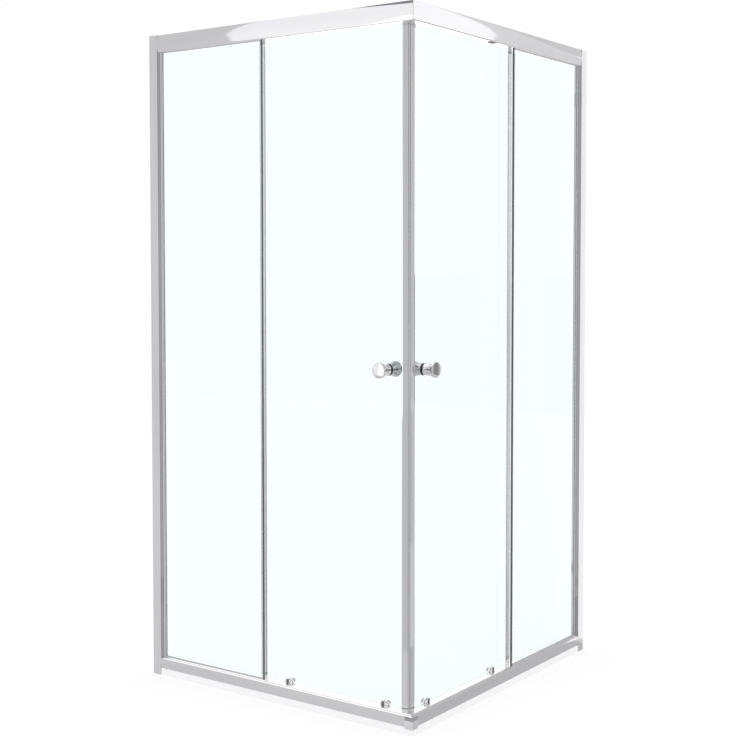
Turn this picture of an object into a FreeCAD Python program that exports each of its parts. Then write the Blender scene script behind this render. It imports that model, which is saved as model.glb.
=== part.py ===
"""Corner-entry shower enclosure, all lengths in millimetres.

Two equal legs run from the front corner to two walls. Each leg has a fixed pane at the wall and a sliding
door that hangs from the top rail on grooved wheels. The two doors meet at the corner on magnet strips. The
lower wheels of a door are pushed up behind a lip of the bottom rail and sit on sprung carriers that can be
pressed down.

A place on a leg is given as u, the distance from the outer front corner along the leg, v, the distance
inward from the outer face of the rails, and z, the height. The origin is the middle of the bottom of the
whole enclosure.
"""

import FreeCAD, Part
import os
from collections import namedtuple

import Sketcher

doc = FreeCAD.newDocument("shower_enclosure")
sheet = doc.addObject("Spreadsheet::Sheet", "dim")

SIZES = {
    # whole enclosure
    "leg": (900, "wall to outer face of the other leg"),
    "height": (1800, "floor to top of the frame"),
    "glass_thick": (5, "fixed panes and doors"),
    "play": (0.3, "gap beside pieces that move past each other"),
    "bore_play": (0.05, "radial gap of a wheel on its axle"),
    "block_play": (0.2, "gap round a block pushed into a rail"),
    "screw_play": (0.1, "radial gap round a screw or stud"),
    # rails
    "rail_wall": (1.6, "wall of the rail section"),
    "rail_depth": (31, "rail, outer face to inner edge"),
    "top_rail_tall": (48, "top rail, lower to upper edge"),
    "bottom_rail_tall": (32, "bottom rail, lower to upper edge"),
    "top_bulge": (2, "rise of the top rail's round outer face"),
    "bottom_bulge": (1.5, "rise of the bottom rail's round outer face"),
    "back_lip": (2, "inner lip of the rail's closed side"),
    "groove_place": (8, "glazing groove, distance from the outer face"),
    "groove_wide": (7, "glazing groove, between its walls"),
    "groove_deep": (10, "glazing groove, depth"),
    "lip_place": (26, "wheel lip, distance from the outer face"),
    "lip_wall": (1.5, "wheel lip, thickness"),
    "lip_rise": (4, "wheel lip, height over the rail's web"),
    # sill under the bottom rail
    "sill_tall": (20, "floor to underside of the bottom rail"),
    "sill_deep": (30, "sill, outer to inner face"),
    "sill_wall": (3, "legs and deck of the sill"),
    "sill_batter": (0.8, "set-back of the sill's outer face at its top"),
    # wall channel and stile
    "channel_deep": (30, "wall channel, along the leg"),
    "channel_wide": (26, "wall channel, across"),
    "channel_wall": (1.6, "wall channel, thickness"),
    "wall_hole_radius": (2.75, "hole for a wall screw"),
    "wall_hole_end": (150, "outermost wall holes from either end"),
    "stile_wall": (1.5, "stile, thickness"),
    "stile_back": (6, "room behind the stile for wall screw heads"),
    "stile_nose": (10, "stile's glazing fins"),
    "nose_wall": (1.6, "thickness of a glazing fin"),
    "stile_screw_end": (300, "outermost stile screws from either end"),
    "stile_screw_long": (5, "stile screw under its head"),
    # screws
    "screw_radius": (1.75, "shank of the frame screws"),
    "screw_head_radius": (3.4, "head of the frame screws"),
    "screw_head_tall": (2.2, "head height of the frame screws"),
    "rail_screw_long": (24, "rail screw under its head"),
    # fixed pane
    "fixed_edge": (25, "free edge of the fixed glass, short of the door's tail edge"),
    "glass_bite": (8, "fixed glass inside a groove"),
    "gasket_show": (2, "gasket above a rail's edge"),
    "gasket_nose": (2, "gasket beyond the stile's fins"),
    "gasket_end": (2, "gasket short of the glass's free edge"),
    "filler_wall": (1.2, "wall of the clips that fill the grooves beside the fixed pane"),
    "filler_deep": (7, "groove filler, depth"),
    # door glass and its edge profiles
    "door_plane": (34, "outer face of the door glass"),
    "door_lead": (46, "lead edge of the door glass"),
    "door_tail": (518, "tail edge of the door glass"),
    "door_low": (20, "lower edge of the door glass, height"),
    "door_high": (12, "upper edge of the door glass, below the top"),
    "lead_wall": (1.8, "wall of the lead profile"),
    "lead_cover": (10, "lead profile over the glass"),
    "lead_gap": (0.4, "lead profile to the mitre line, along the leg"),
    "lead_blunt": (2, "blunted tip of the lead profile"),
    "magnet_wide": (7, "magnet strip, across its face"),
    "magnet_thick": (2.5, "magnet strip, depth"),
    "tail_wall": (1.6, "wall of the tail profile"),
    "tail_cover": (17, "tail profile over the glass"),
    "tail_ends": (4, "tail profile to either rail"),
    "fin_place": (1, "splash fin, distance from the tail profile's free edge"),
    "fin_wall": (1.5, "splash fin, thickness"),
    "fin_gap": (0.5, "splash fin to fixed glass"),
    "fin_ends": (12, "splash fin to either rail"),
    # knobs
    "knob_place": (57, "knob axis from the door's lead edge"),
    "knob_height": (900, "knob axis, height"),
    "knob_radius": (20, "rim of the knob"),
    "knob_waist": (15.5, "knob at the glass"),
    "knob_sweep": (60, "radius of the knob's hollow flank"),
    "knob_reach": (34, "length of one knob"),
    "knob_rim": (6, "length of the rim with its bevel"),
    "knob_bevel": (1.5, "bevel of the rim"),
    "knob_bore": (14, "depth of the stud's bore"),
    "stud_radius": (3, "knob stud"),
    "stud_bite": (12, "stud inside a knob"),
    "knob_hole": (6, "radius of the knob's hole in the glass"),
    "bush_thick": (1.2, "flange of a knob bush"),
    "bush_reach": (2.3, "sleeve of a knob bush inside the glass"),
    # top rollers
    "lead_roller": (64, "lead rollers from the door's lead edge"),
    "tail_roller": (94, "tail rollers from the door's tail edge"),
    "wheel_radius": (9, "top wheel at the floor of its groove"),
    "wheel_flange": (2, "top wheel, depth of the groove"),
    "wheel_wide": (6.9, "width of every wheel"),
    "lip_play": (0.4, "groove of a wheel beside the lip"),
    "lip_gap": (0.1, "groove floor of a wheel to the lip"),
    "wheel_side": (0.4, "wheel to the piece that holds its axle"),
    "axle_slack": (0.8, "wheel to the head of its axle"),
    "axle_radius": (3, "axle of a top wheel"),
    "axle_head_radius": (4.5, "head of a top axle"),
    "axle_head_thick": (1.5, "head of a top axle"),
    "hanger_radius": (10, "round plate of a hanger"),
    "stem_radius": (4, "hanger stem in the glass"),
    "stem_hole_play": (0.5, "radial gap round the stem"),
    "stem_out": (4, "stem beyond the glass"),
    "nut_radius": (9, "cap nut"),
    "nut_tall": (7, "cap nut"),
    "nut_bevel": (1.5, "bevel of the cap nut"),
    "nut_deep": (4.5, "bore of the cap nut"),
    # bottom rollers
    "low_wheel_radius": (6, "bottom wheel at the floor of its groove"),
    "low_wheel_flange": (2, "bottom wheel, depth of the groove"),
    "low_axle_radius": (2, "axle of a bottom wheel"),
    "low_head_radius": (3.2, "head of a bottom axle"),
    "low_head_thick": (1.2, "head of a bottom axle"),
    "carrier_wide": (8, "carrier along the leg"),
    "carrier_thick": (2.1, "carrier plate"),
    "carrier_low": (5, "carrier plate below the axle"),
    "post_high": (13, "upper end of the carrier's post above the rail"),
    "post_thick": (5.7, "carrier's post"),
    "post_roof": (1, "post above its spring bore"),
    "post_bore": (1.6, "spring bore in the post"),
    "spring_radius": (1.2, "release spring, middle of its wire"),
    "spring_wire": (0.2, "release spring, radius of its wire"),
    "release_travel": (4, "carrier pressed down"),
    "bracket_foot": (0.6, "bracket above the rail"),
    "bracket_high": (8, "upper side of the bracket above the rail"),
    "bracket_thick": (7.4, "bracket, from the glass outward"),
    "bracket_ledge": (1.2, "ledge of the bracket under the spring"),
    "bracket_back": (1, "bracket behind the carrier"),
    "bracket_cheek": (4, "bracket beside its slot, tail side"),
    "bracket_hump": (15, "bracket beside its slot, lead side"),
    "bracket_round": (11, "radius of the hump"),
    "bracket_screw_place": (9, "bracket screw from the carrier's middle"),
    "bracket_screw_high": (4.2, "bracket screw above the rail"),
    "bracket_screw_short": (1, "bracket screw's end below the bracket's face"),
    "bracket_head_radius": (6, "head of the bracket screw"),
    "bracket_head_tall": (3, "head of the bracket screw"),
    # stops, corner pieces and end blocks
    "stop_long": (12, "door stop along the rail"),
    "stop_tall": (10, "door stop"),
    "stop_gap": (0.5, "wheel to door stop, door shut"),
    "open_stop_place": (84.5, "face of the door stop for the open door, from the rail's wall end"),
    "block_inner": (20, "inner side of the blocks in the rails"),
    "corner_long": (50, "arm of a corner connector"),
    "set_screw_radius": (2, "corner set screw"),
    "set_screw_first": (28, "set screw from the corner"),
    "set_screw_pitch": (14, "between set screws"),
    "set_screw_show": (1, "set screw beyond its connector"),
    "end_block_long": (40, "block in a rail's wall end"),
    "corner_cap_thick": (1.2, "cap over the bottom corner"),
    "corner_cap_arm": (25, "cap over the bottom corner"),
    "corner_cap_drop": (4, "cap below the bottom rail's lower edge"),
    "corner_cap_tall": (24, "cap over the bottom corner"),
    "corner_cap_round": (0.9, "rounded upright edges of the cap"),
}
WALL_HOLES = 4
STILE_SCREWS = 4
SET_SCREWS = 2
SPRING_TURNS = 8

for row, (alias, (size, note)) in enumerate(SIZES.items(), 1):
    sheet.set(f"A{row}", alias)
    sheet.set(f"B{row}", str(size))
    sheet.setAlias(f"B{row}", alias)
    sheet.set(f"C{row}", note)
doc.recompute()

# Places that follow from the sizes, as expressions over the sheet.
PROUD = "max(dim.corner_cap_thick; dim.bush_thick + dim.knob_reach - dim.door_plane)"
CORNER = f"(dim.leg - {PROUD}) / 2"
MOUTH = "(dim.leg - dim.channel_deep)"
RAIL_LOW = "(dim.sill_tall + dim.bottom_rail_tall)"
RAIL_HIGH = "(dim.height - dim.top_rail_tall)"
GROOVE_MID = "(dim.groove_place + dim.groove_wide / 2)"
PANE_IN = f"({GROOVE_MID} + dim.glass_thick / 2)"
PANE_OUT = f"({GROOVE_MID} - dim.glass_thick / 2)"
FIXED_EDGE = "(dim.door_tail - dim.fixed_edge)"
KNOB_PLACE = "(dim.door_lead + dim.knob_place)"
DOOR_MID = "(dim.door_plane + dim.glass_thick / 2)"
DOOR_IN = "(dim.door_plane + dim.glass_thick)"
WHEEL_MID = "(dim.lip_place + dim.lip_wall / 2)"
WHEEL_OUT = f"({WHEEL_MID} - dim.wheel_wide / 2)"
WHEEL_IN = f"({WHEEL_MID} + dim.wheel_wide / 2)"
HOLDER = f"({WHEEL_IN} + dim.wheel_side)"
LIP_REACH = "(dim.rail_wall + dim.lip_rise)"
TOP_AXLE = f"({RAIL_HIGH} + {LIP_REACH} + dim.lip_gap + dim.wheel_radius)"
LOW_AXLE = f"({RAIL_LOW} - {LIP_REACH} - dim.lip_gap - dim.low_wheel_radius)"
TRACK_OUT = "(dim.groove_place + dim.groove_wide + dim.rail_wall)"
CARRIER_IN = f"({HOLDER} + dim.carrier_thick)"
SPRING_MID = f"({CARRIER_IN} - dim.post_thick + {HOLDER}) / 2"
LEDGE = f"({RAIL_LOW} + dim.bracket_foot + dim.bracket_ledge)"
POST_LOW = f"({LEDGE} + dim.release_travel + dim.play)"
POST_HIGH = f"({RAIL_LOW} + dim.post_high)"

Leg = namedtuple("Leg", "name flip turn inward")
LEGS = [
    Leg("left", -1, 180, FreeCAD.Vector(0, 1, 0)),
    Leg("right", 1, 90, FreeCAD.Vector(-1, 0, 0)),
]
LEFT, RIGHT = LEGS
ROLLERS = {"lead": "(dim.door_lead + dim.lead_roller)", "tail": "(dim.door_tail - dim.tail_roller)"}
UP = FreeCAD.Vector(0, 0, 1)
ALONG = FreeCAD.Vector(1, 0, 0)
parts = {}


def value(expression):
    """The number that an expression over the sheet gives now."""
    result = sheet.evalExpression(expression)
    return float(getattr(result, "Value", result))


def keep(name, obj):
    """Names a finished sub-part and lists it for writing out."""
    obj.Label = name
    parts[name] = obj


def spot(leg, u, v):
    """World x and y of a place on a leg, as expressions."""
    if leg is LEFT:
        return f"{CORNER} - ({u})", f"({v}) - {CORNER}"
    return f"{CORNER} - ({v})", f"({u}) - {CORNER}"


def put(obj, leg, u, v, z, rotation):
    """Places an object on a leg, its three coordinates bound to the sheet."""
    obj.Placement = FreeCAD.Placement(FreeCAD.Vector(0, 0, 0), rotation)
    x, y = spot(leg, u, v)
    obj.setExpression("Placement.Base.x", x)
    obj.setExpression("Placement.Base.y", y)
    obj.setExpression("Placement.Base.z", z)


def leg_body(name, leg):
    """A body at the outer corner: its x runs along the leg, and its y is v or, on the left leg, minus v."""
    body = doc.addObject("PartDesign::Body", f"{name}_body")
    put(body, leg, "0", "0", "0", FreeCAD.Rotation(UP, leg.turn))
    return body


def turned_body(name, leg, u, v, z, direction=None):
    """A body for turned pieces: its x axis points inward from the leg, or along a given direction."""
    body = doc.addObject("PartDesign::Body", f"{name}_body")
    put(body, leg, u, v, z, FreeCAD.Rotation(ALONG, direction or leg.inward))
    return body


def sketch_on(body, role, offset):
    """A sketch on one of the body's own planes, moved along the plane's normal."""
    sketch = body.newObject("Sketcher::SketchObject", f"{body.Name}_sketch")
    plane = next(f for f in body.Origin.OriginFeatures if f.Role == role)
    sketch.AttachmentSupport = [(plane, "")]
    sketch.MapMode = "FlatFace"
    sketch.setExpression("AttachmentOffset.Base.z", offset)
    return sketch


def plan(body, z="0"):
    """A sketch seen from above, at a height."""
    return sketch_on(body, "XY_Plane", z)


def section(body, u="0"):
    """A sketch across the leg, at a place along it."""
    return sketch_on(body, "YZ_Plane", u)


def elevation(body, leg, v):
    """A sketch seen from the front of the leg, at a depth."""
    return sketch_on(body, "XZ_Plane", f"{-leg.flip} * ({v})")


def across(leg, v):
    """The body's y for a depth v on the leg, as an expression."""
    return f"{leg.flip} * ({v})"


def arc_between(start, end, radius, side):
    """A counter-clockwise arc on two points that bulges left of the way (side 1) or right of it (-1)."""
    chord = end - start
    normal = UP.cross(chord).normalize() * side
    middle = (start + end) / 2
    crown = middle + normal * (radius - (radius**2 - (chord.Length / 2) ** 2) ** 0.5)
    return Part.Arc(end, crown, start) if side > 0 else Part.Arc(start, crown, end)


def outline(sketch, points, arcs=None):
    """Adds a closed outline through points given as expressions; arcs maps an edge to its radius and side."""
    arcs = arcs or {}
    corners = [FreeCAD.Vector(value(x), value(y), 0) for x, y in points]
    count = len(corners)
    first = sketch.GeometryCount
    starts = []
    for i, corner in enumerate(corners):
        following = corners[(i + 1) % count]
        if i in arcs:
            radius, side = arcs[i]
            edge = arc_between(corner, following, value(radius), side)
        else:
            edge = Part.LineSegment(corner, following)
        sketch.addGeometry(edge)
        made = sketch.Geometry[first + i]
        begins = (made.StartPoint - corner).Length < (made.EndPoint - corner).Length
        starts.append(1 if begins else 2)
    rules = []
    bound = {}
    for i, corner in enumerate(corners):
        before = (i - 1) % count
        meets = (first + before, 3 - starts[before], first + i, starts[i])
        rules.append(Sketcher.Constraint("Coincident", *meets))
        for kind, size, expression in zip(("DistanceX", "DistanceY"), corner, points[i]):
            bound[len(rules)] = expression
            rules.append(Sketcher.Constraint(kind, -1, 1, first + i, starts[i], size))
    for i, (radius, _) in arcs.items():
        bound[len(rules)] = radius
        rules.append(Sketcher.Constraint("Radius", first + i, value(radius)))
    numbers = sketch.addConstraint(rules)
    for order, expression in bound.items():
        sketch.setExpression(f"Constraints[{numbers[order]}]", expression)


def rectangle(sketch, x0, x1, y0, y1):
    """Adds a rectangle between two pairs of expressions."""
    outline(sketch, [(x0, y0), (x1, y0), (x1, y1), (x0, y1)])


def circle(sketch, x, y, radius):
    """Adds a circle whose centre and radius are expressions."""
    centre = FreeCAD.Vector(value(x), value(y), 0)
    number = sketch.addGeometry(Part.Circle(centre, UP, value(radius)))
    rules = [
        Sketcher.Constraint("DistanceX", -1, 1, number, 3, centre.x),
        Sketcher.Constraint("DistanceY", -1, 1, number, 3, centre.y),
        Sketcher.Constraint("Radius", number, value(radius)),
    ]
    for rule, expression in zip(sketch.addConstraint(rules), (x, y, radius)):
        sketch.setExpression(f"Constraints[{rule}]", expression)


def pad(body, sketch, length, both=False):
    """Pads a sketch by a length, along its normal or to both sides."""
    feature = body.newObject("PartDesign::Pad", f"{body.Name}_pad")
    feature.Profile = sketch
    feature.SideType = "Symmetric" if both else "One side"
    feature.setExpression("Length", length)
    sketch.Visibility = False


def pocket(body, sketch, length=None):
    """Cuts a sketch to both sides, by a total length or through everything."""
    feature = body.newObject("PartDesign::Pocket", f"{body.Name}_pocket")
    feature.Profile = sketch
    feature.SideType = "Symmetric"
    if length:
        feature.setExpression("Length", length)
    else:
        feature.Type = "ThroughAll"
    sketch.Visibility = False


def turn(body, points, arcs=None):
    """Turns an outline of (place on the axis, radius) pairs about the body's x axis."""
    sketch = plan(body)
    outline(sketch, points, arcs)
    feature = body.newObject("PartDesign::Revolution", f"{body.Name}_turn")
    feature.Profile = sketch
    feature.ReferenceAxis = (sketch, ["H_Axis"])
    sketch.Visibility = False


def leg_box(name, leg, u, v, z):
    """A box on a leg between two places along it, two depths and two heights."""
    box = doc.addObject("Part::Box", name)
    corner_v = v[1] if leg is LEFT else v[0]
    put(box, leg, u[0], corner_v, z[0], FreeCAD.Rotation(UP, leg.turn))
    for side, (low, high) in zip(("Length", "Width", "Height"), (u, v, z)):
        box.setExpression(side, f"({high}) - ({low})")
    return box


def group(name, members):
    """Several like pieces as one sub-part."""
    together = doc.addObject("Part::Compound", name)
    together.Links = members
    keep(name, together)


def heights(end, count):
    """Heights spread evenly over the enclosure, the outermost a distance from its ends, as expressions."""
    return [f"{end} + {i} * (dim.height - 2 * {end}) / {count - 1}" for i in range(count)]


WALL_HOLE_HEIGHTS = heights("dim.wall_hole_end", WALL_HOLES)
STILE_SCREW_HEIGHTS = heights("dim.stile_screw_end", STILE_SCREWS)

# The two rails share a section. Its heights run from the grooved edge to the closed side: up in the top rail,
# down in the bottom rail.
Rail = namedtuple("Rail", "name edge way tall bulge")
TOP = Rail("top", RAIL_HIGH, "+", "dim.top_rail_tall", "dim.top_bulge")
BOTTOM = Rail("bottom", RAIL_LOW, "-", "dim.bottom_rail_tall", "dim.bottom_bulge")
RAILS = [TOP, BOTTOM]


def rail_height(rail, rise):
    """World height of a place in a rail's section, as an expression."""
    return f"{rail.edge} {rail.way} ({rise})"


def block_heights(rail):
    """The two sides of a block in the hollow behind a rail's groove, as rises from the grooved edge."""
    return (
        "dim.groove_deep + dim.rail_wall + dim.block_play",
        f"{rail.tall} - dim.rail_wall - dim.block_play",
    )


def block_middle(rail):
    """World height of the middle of that block."""
    low, high = block_heights(rail)
    return rail_height(rail, f"({low} + {high}) / 2")


def block_outer(rail):
    """Outer side of that block."""
    return f"({rail.bulge} + dim.rail_wall + dim.block_play)"


def mitre(body, leg, depth):
    """Cuts the corner end of a rail or sill to 45 degrees."""
    cut = plan(body)
    outline(cut, [("0", "0"), (depth, across(leg, depth)), ("0", across(leg, depth))])
    pocket(body, cut)


def make_rail(rail, leg):
    """C section: outer wall, glazing groove, upstanding wheel lip and closed side with a small lip."""
    name = f"{rail.name}_rail_{leg.name}"
    wall = "dim.rail_wall"
    groove_end = "dim.groove_place + dim.groove_wide"
    lip_end = "dim.lip_place + dim.lip_wall"
    closed = f"{rail.tall} - {wall}"
    places = [
        (rail.bulge, "0"),
        (rail.bulge, rail.tall),
        ("dim.rail_depth", rail.tall),
        ("dim.rail_depth", f"{closed} - dim.back_lip"),
        (f"dim.rail_depth - {wall}", f"{closed} - dim.back_lip"),
        (f"dim.rail_depth - {wall}", closed),
        (f"{rail.bulge} + {wall}", closed),
        (f"{rail.bulge} + {wall}", wall),
        (f"dim.groove_place - {wall}", wall),
        (f"dim.groove_place - {wall}", f"dim.groove_deep + {wall}"),
        (TRACK_OUT, f"dim.groove_deep + {wall}"),
        (TRACK_OUT, wall),
        ("dim.lip_place", wall),
        ("dim.lip_place", LIP_REACH),
        (lip_end, LIP_REACH),
        (lip_end, "0"),
        (groove_end, "0"),
        (groove_end, "dim.groove_deep"),
        ("dim.groove_place", "dim.groove_deep"),
        ("dim.groove_place", "0"),
    ]
    round_face = f"{rail.tall} ^ 2 / (8 * {rail.bulge}) + {rail.bulge} / 2"
    arcs = {0: (round_face, leg.flip if rail is TOP else -leg.flip)}
    body = leg_body(name, leg)
    sketch = section(body)
    outline(sketch, [(across(leg, v), rail_height(rail, rise)) for v, rise in places], arcs)
    pad(body, sketch, MOUTH)
    mitre(body, leg, "dim.rail_depth")
    keep(name, body)


def make_sill(leg):
    """Channel section that stands on its two legs and carries the bottom rail."""
    name = f"sill_{leg.name}"
    deck = "dim.sill_tall - dim.sill_wall"
    places = [
        ("0", "0"),
        ("dim.sill_batter", "dim.sill_tall"),
        ("dim.sill_deep", "dim.sill_tall"),
        ("dim.sill_deep", "0"),
        ("dim.sill_deep - dim.sill_wall", "0"),
        ("dim.sill_deep - dim.sill_wall", deck),
        ("dim.sill_batter + dim.sill_wall", deck),
        ("dim.sill_wall", "0"),
    ]
    body = leg_body(name, leg)
    sketch = section(body)
    outline(sketch, [(across(leg, v), z) for v, z in places])
    pad(body, sketch, MOUTH)
    mitre(body, leg, "dim.sill_deep")
    keep(name, body)


def make_wall_channel(leg):
    """U section against the wall with wall screw holes in its web and stile screw holes in a flange."""
    name = f"wall_channel_{leg.name}"
    wall = "dim.channel_wall"
    places = [
        (MOUTH, "0"),
        ("dim.leg", "0"),
        ("dim.leg", "dim.channel_wide"),
        (MOUTH, "dim.channel_wide"),
        (MOUTH, f"dim.channel_wide - {wall}"),
        (f"dim.leg - {wall}", f"dim.channel_wide - {wall}"),
        (f"dim.leg - {wall}", wall),
        (MOUTH, wall),
    ]
    body = leg_body(name, leg)
    sketch = plan(body)
    outline(sketch, [(u, across(leg, v)) for u, v in places])
    pad(body, sketch, "dim.height")
    wall_holes = section(body, f"dim.leg - {wall} / 2")
    for z in WALL_HOLE_HEIGHTS:
        circle(wall_holes, across(leg, "dim.channel_wide / 2"), z, "dim.wall_hole_radius")
    pocket(body, wall_holes, f"2 * {wall}")
    screw_holes = elevation(body, leg, f"dim.channel_wide - {wall} / 2")
    for z in STILE_SCREW_HEIGHTS:
        circle(screw_holes, "dim.leg - dim.channel_deep / 2", z, "dim.screw_radius + dim.screw_play")
    pocket(body, screw_holes, f"2 * {wall}")
    keep(name, body)


def make_stile(leg):
    """Box section that slides in the wall channel, with two fins between the rails for the fixed pane."""
    name = f"stile_{leg.name}"
    wall = "dim.stile_wall"
    back = "dim.leg - dim.stile_back"
    outer = "dim.channel_wall + dim.play"
    inner = "dim.channel_wide - dim.channel_wall - dim.play"
    body = leg_body(name, leg)
    box = plan(body)
    rectangle(box, MOUTH, back, across(leg, outer), across(leg, inner))
    rectangle(
        box,
        f"{MOUTH} + {wall}",
        f"{back} - {wall}",
        across(leg, f"{outer} + {wall}"),
        across(leg, f"{inner} - {wall}"),
    )
    pad(body, box, "dim.height")
    fins = plan(body, RAIL_LOW)
    groove_end = "dim.groove_place + dim.groove_wide"
    for low, high in (
        ("dim.groove_place - dim.nose_wall", "dim.groove_place"),
        (groove_end, f"{groove_end} + dim.nose_wall"),
    ):
        rectangle(fins, f"{MOUTH} - dim.stile_nose", MOUTH, across(leg, low), across(leg, high))
    pad(body, fins, f"{RAIL_HIGH} - {RAIL_LOW}")
    screw_holes = elevation(body, leg, f"{inner} - {wall} / 2")
    for z in STILE_SCREW_HEIGHTS:
        circle(screw_holes, "dim.leg - dim.channel_deep / 2", z, "dim.screw_radius + dim.screw_play")
    pocket(body, screw_holes, f"2 * {wall}")
    rail_holes = section(body, f"{MOUTH} + {wall} / 2")
    for rail in RAILS:
        depth = across(leg, end_screw_depth(rail))
        circle(rail_holes, depth, block_middle(rail), "dim.screw_radius + dim.screw_play")
    pocket(body, rail_holes, f"2 * {wall}")
    keep(name, body)


def end_screw_depth(rail):
    """Depth of the screw that joins a rail's end block to the stile."""
    return f"({block_outer(rail)} + dim.block_inner) / 2"


def make_fixed_pane(leg):
    """Fixed glass in the rails' grooves and the stile, one edge bare, and the gasket round the others."""
    glass_end = f"{MOUTH} - dim.stile_nose + dim.glass_bite"
    glass_low = f"{RAIL_LOW} - dim.glass_bite"
    glass_high = f"{RAIL_HIGH} + dim.glass_bite"
    glass = leg_box(
        f"fixed_glass_{leg.name}", leg, (FIXED_EDGE, glass_end), (PANE_OUT, PANE_IN), (glass_low, glass_high)
    )
    keep(glass.Name, glass)

    gasket = leg_body(f"glazing_gasket_{leg.name}", leg)
    start = f"{FIXED_EDGE} + dim.gasket_end"
    inside = f"{MOUTH} - dim.stile_nose - dim.gasket_nose"
    strip = elevation(gasket, leg, GROOVE_MID)
    outline(
        strip,
        [
            (start, f"{RAIL_LOW} - dim.groove_deep"),
            (MOUTH, f"{RAIL_LOW} - dim.groove_deep"),
            (MOUTH, f"{RAIL_HIGH} + dim.groove_deep"),
            (start, f"{RAIL_HIGH} + dim.groove_deep"),
            (start, f"{RAIL_HIGH} - dim.gasket_show"),
            (inside, f"{RAIL_HIGH} - dim.gasket_show"),
            (inside, f"{RAIL_LOW} + dim.gasket_show"),
            (start, f"{RAIL_LOW} + dim.gasket_show"),
        ],
    )
    pad(gasket, strip, "dim.groove_wide", both=True)
    slot = elevation(gasket, leg, GROOVE_MID)
    rectangle(slot, FIXED_EDGE, glass_end, glass_low, glass_high)
    pocket(gasket, slot, "dim.glass_thick")
    keep(f"glazing_gasket_{leg.name}", gasket)


def make_groove_fillers(leg):
    """Clips that close the grooves of both rails between the corner and the fixed pane."""
    near = "dim.groove_place + dim.block_play"
    far = "dim.groove_place + dim.groove_wide - dim.block_play"
    wall = "dim.filler_wall"
    places = [
        (near, "0"),
        (far, "0"),
        (far, "dim.filler_deep"),
        (f"{far} - {wall}", "dim.filler_deep"),
        (f"{far} - {wall}", wall),
        (f"{near} + {wall}", wall),
        (f"{near} + {wall}", "dim.filler_deep"),
        (near, "dim.filler_deep"),
    ]
    fillers = []
    for rail in RAILS:
        body = leg_body(f"{rail.name}_filler_{leg.name}", leg)
        sketch = section(body)
        outline(sketch, [(across(leg, v), rail_height(rail, rise)) for v, rise in places])
        pad(body, sketch, f"{FIXED_EDGE} - dim.play")
        mitre(body, leg, "dim.rail_depth")
        fillers.append(body)
    group(f"groove_fillers_{leg.name}", fillers)


def make_door_glass(leg):
    """Door glass with holes for the hangers, the bracket screws and the knob."""
    name = f"door_glass_{leg.name}"
    body = leg_body(name, leg)
    sketch = elevation(body, leg, DOOR_MID)
    rectangle(sketch, "dim.door_lead", "dim.door_tail", "dim.door_low", "dim.height - dim.door_high")
    for place in ROLLERS.values():
        circle(sketch, place, TOP_AXLE, "dim.stem_radius + dim.stem_hole_play")
        screw_u, screw_z = bracket_screw(place)
        circle(sketch, screw_u, screw_z, "dim.screw_radius + dim.screw_play")
    circle(sketch, KNOB_PLACE, "dim.knob_height", "dim.knob_hole")
    pad(body, sketch, "dim.glass_thick", both=True)
    keep(name, body)


def make_lead_profile(leg):
    """Profile on the meeting edge of the door, cut on the mitre line, and the magnet strip in its face."""
    outer = "dim.door_plane - dim.lead_wall"
    inner = f"{DOOR_IN} + dim.lead_wall"
    over = "dim.door_lead + dim.lead_cover"
    tip = f"{outer} + dim.lead_gap + dim.lead_blunt"
    half = "dim.magnet_wide / (2 * sqrt(2))"
    deep = "dim.magnet_thick / sqrt(2)"
    face_mid = f"({outer} + dim.lead_blunt + {inner}) / 2"
    near = (f"{face_mid} - {half} + dim.lead_gap", f"{face_mid} - {half}")
    far = (f"{face_mid} + {half} + dim.lead_gap", f"{face_mid} + {half}")
    near_deep, far_deep = ((f"{u} + {deep}", f"{v} - {deep}") for u, v in (near, far))
    magnet = [near, near_deep, far_deep, far]
    places = [
        (tip, outer),
        (tip, f"{outer} + dim.lead_blunt"),
        *magnet,
        (f"{inner} + dim.lead_gap", inner),
        (over, inner),
        (over, DOOR_IN),
        ("dim.door_lead", DOOR_IN),
        ("dim.door_lead", "dim.door_plane"),
        (over, "dim.door_plane"),
        (over, outer),
    ]
    for name, corners in (("lead_profile", places), ("magnet_strip", magnet)):
        body = leg_body(f"{name}_{leg.name}", leg)
        sketch = plan(body, "dim.door_low")
        outline(sketch, [(u, across(leg, v)) for u, v in corners])
        pad(body, sketch, "dim.height - dim.door_high - dim.door_low")
        keep(f"{name}_{leg.name}", body)


def make_tail_profile(leg):
    """Profile over the door's tail edge, and the fin on it that wipes the inner face of the fixed pane."""
    start = "dim.door_tail - dim.tail_cover"
    end = "dim.door_tail + dim.tail_wall"
    outer = "dim.door_plane - dim.tail_wall"
    inner = f"{DOOR_IN} + dim.tail_wall"
    places = [
        (start, outer),
        (end, outer),
        (end, inner),
        (start, inner),
        (start, DOOR_IN),
        ("dim.door_tail", DOOR_IN),
        ("dim.door_tail", "dim.door_plane"),
        (start, "dim.door_plane"),
    ]
    profile = leg_body(f"tail_profile_{leg.name}", leg)
    sketch = plan(profile, f"{RAIL_LOW} + dim.tail_ends")
    outline(sketch, [(u, across(leg, v)) for u, v in places])
    pad(profile, sketch, f"{RAIL_HIGH} - {RAIL_LOW} - 2 * dim.tail_ends")
    keep(f"tail_profile_{leg.name}", profile)

    fin_start = f"{start} + dim.fin_place"
    fin = leg_box(
        f"splash_fin_{leg.name}",
        leg,
        (fin_start, f"{fin_start} + dim.fin_wall"),
        (f"{PANE_IN} + dim.fin_gap", outer),
        (f"{RAIL_LOW} + dim.fin_ends", f"{RAIL_HIGH} - dim.fin_ends"),
    )
    keep(fin.Name, fin)


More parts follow.
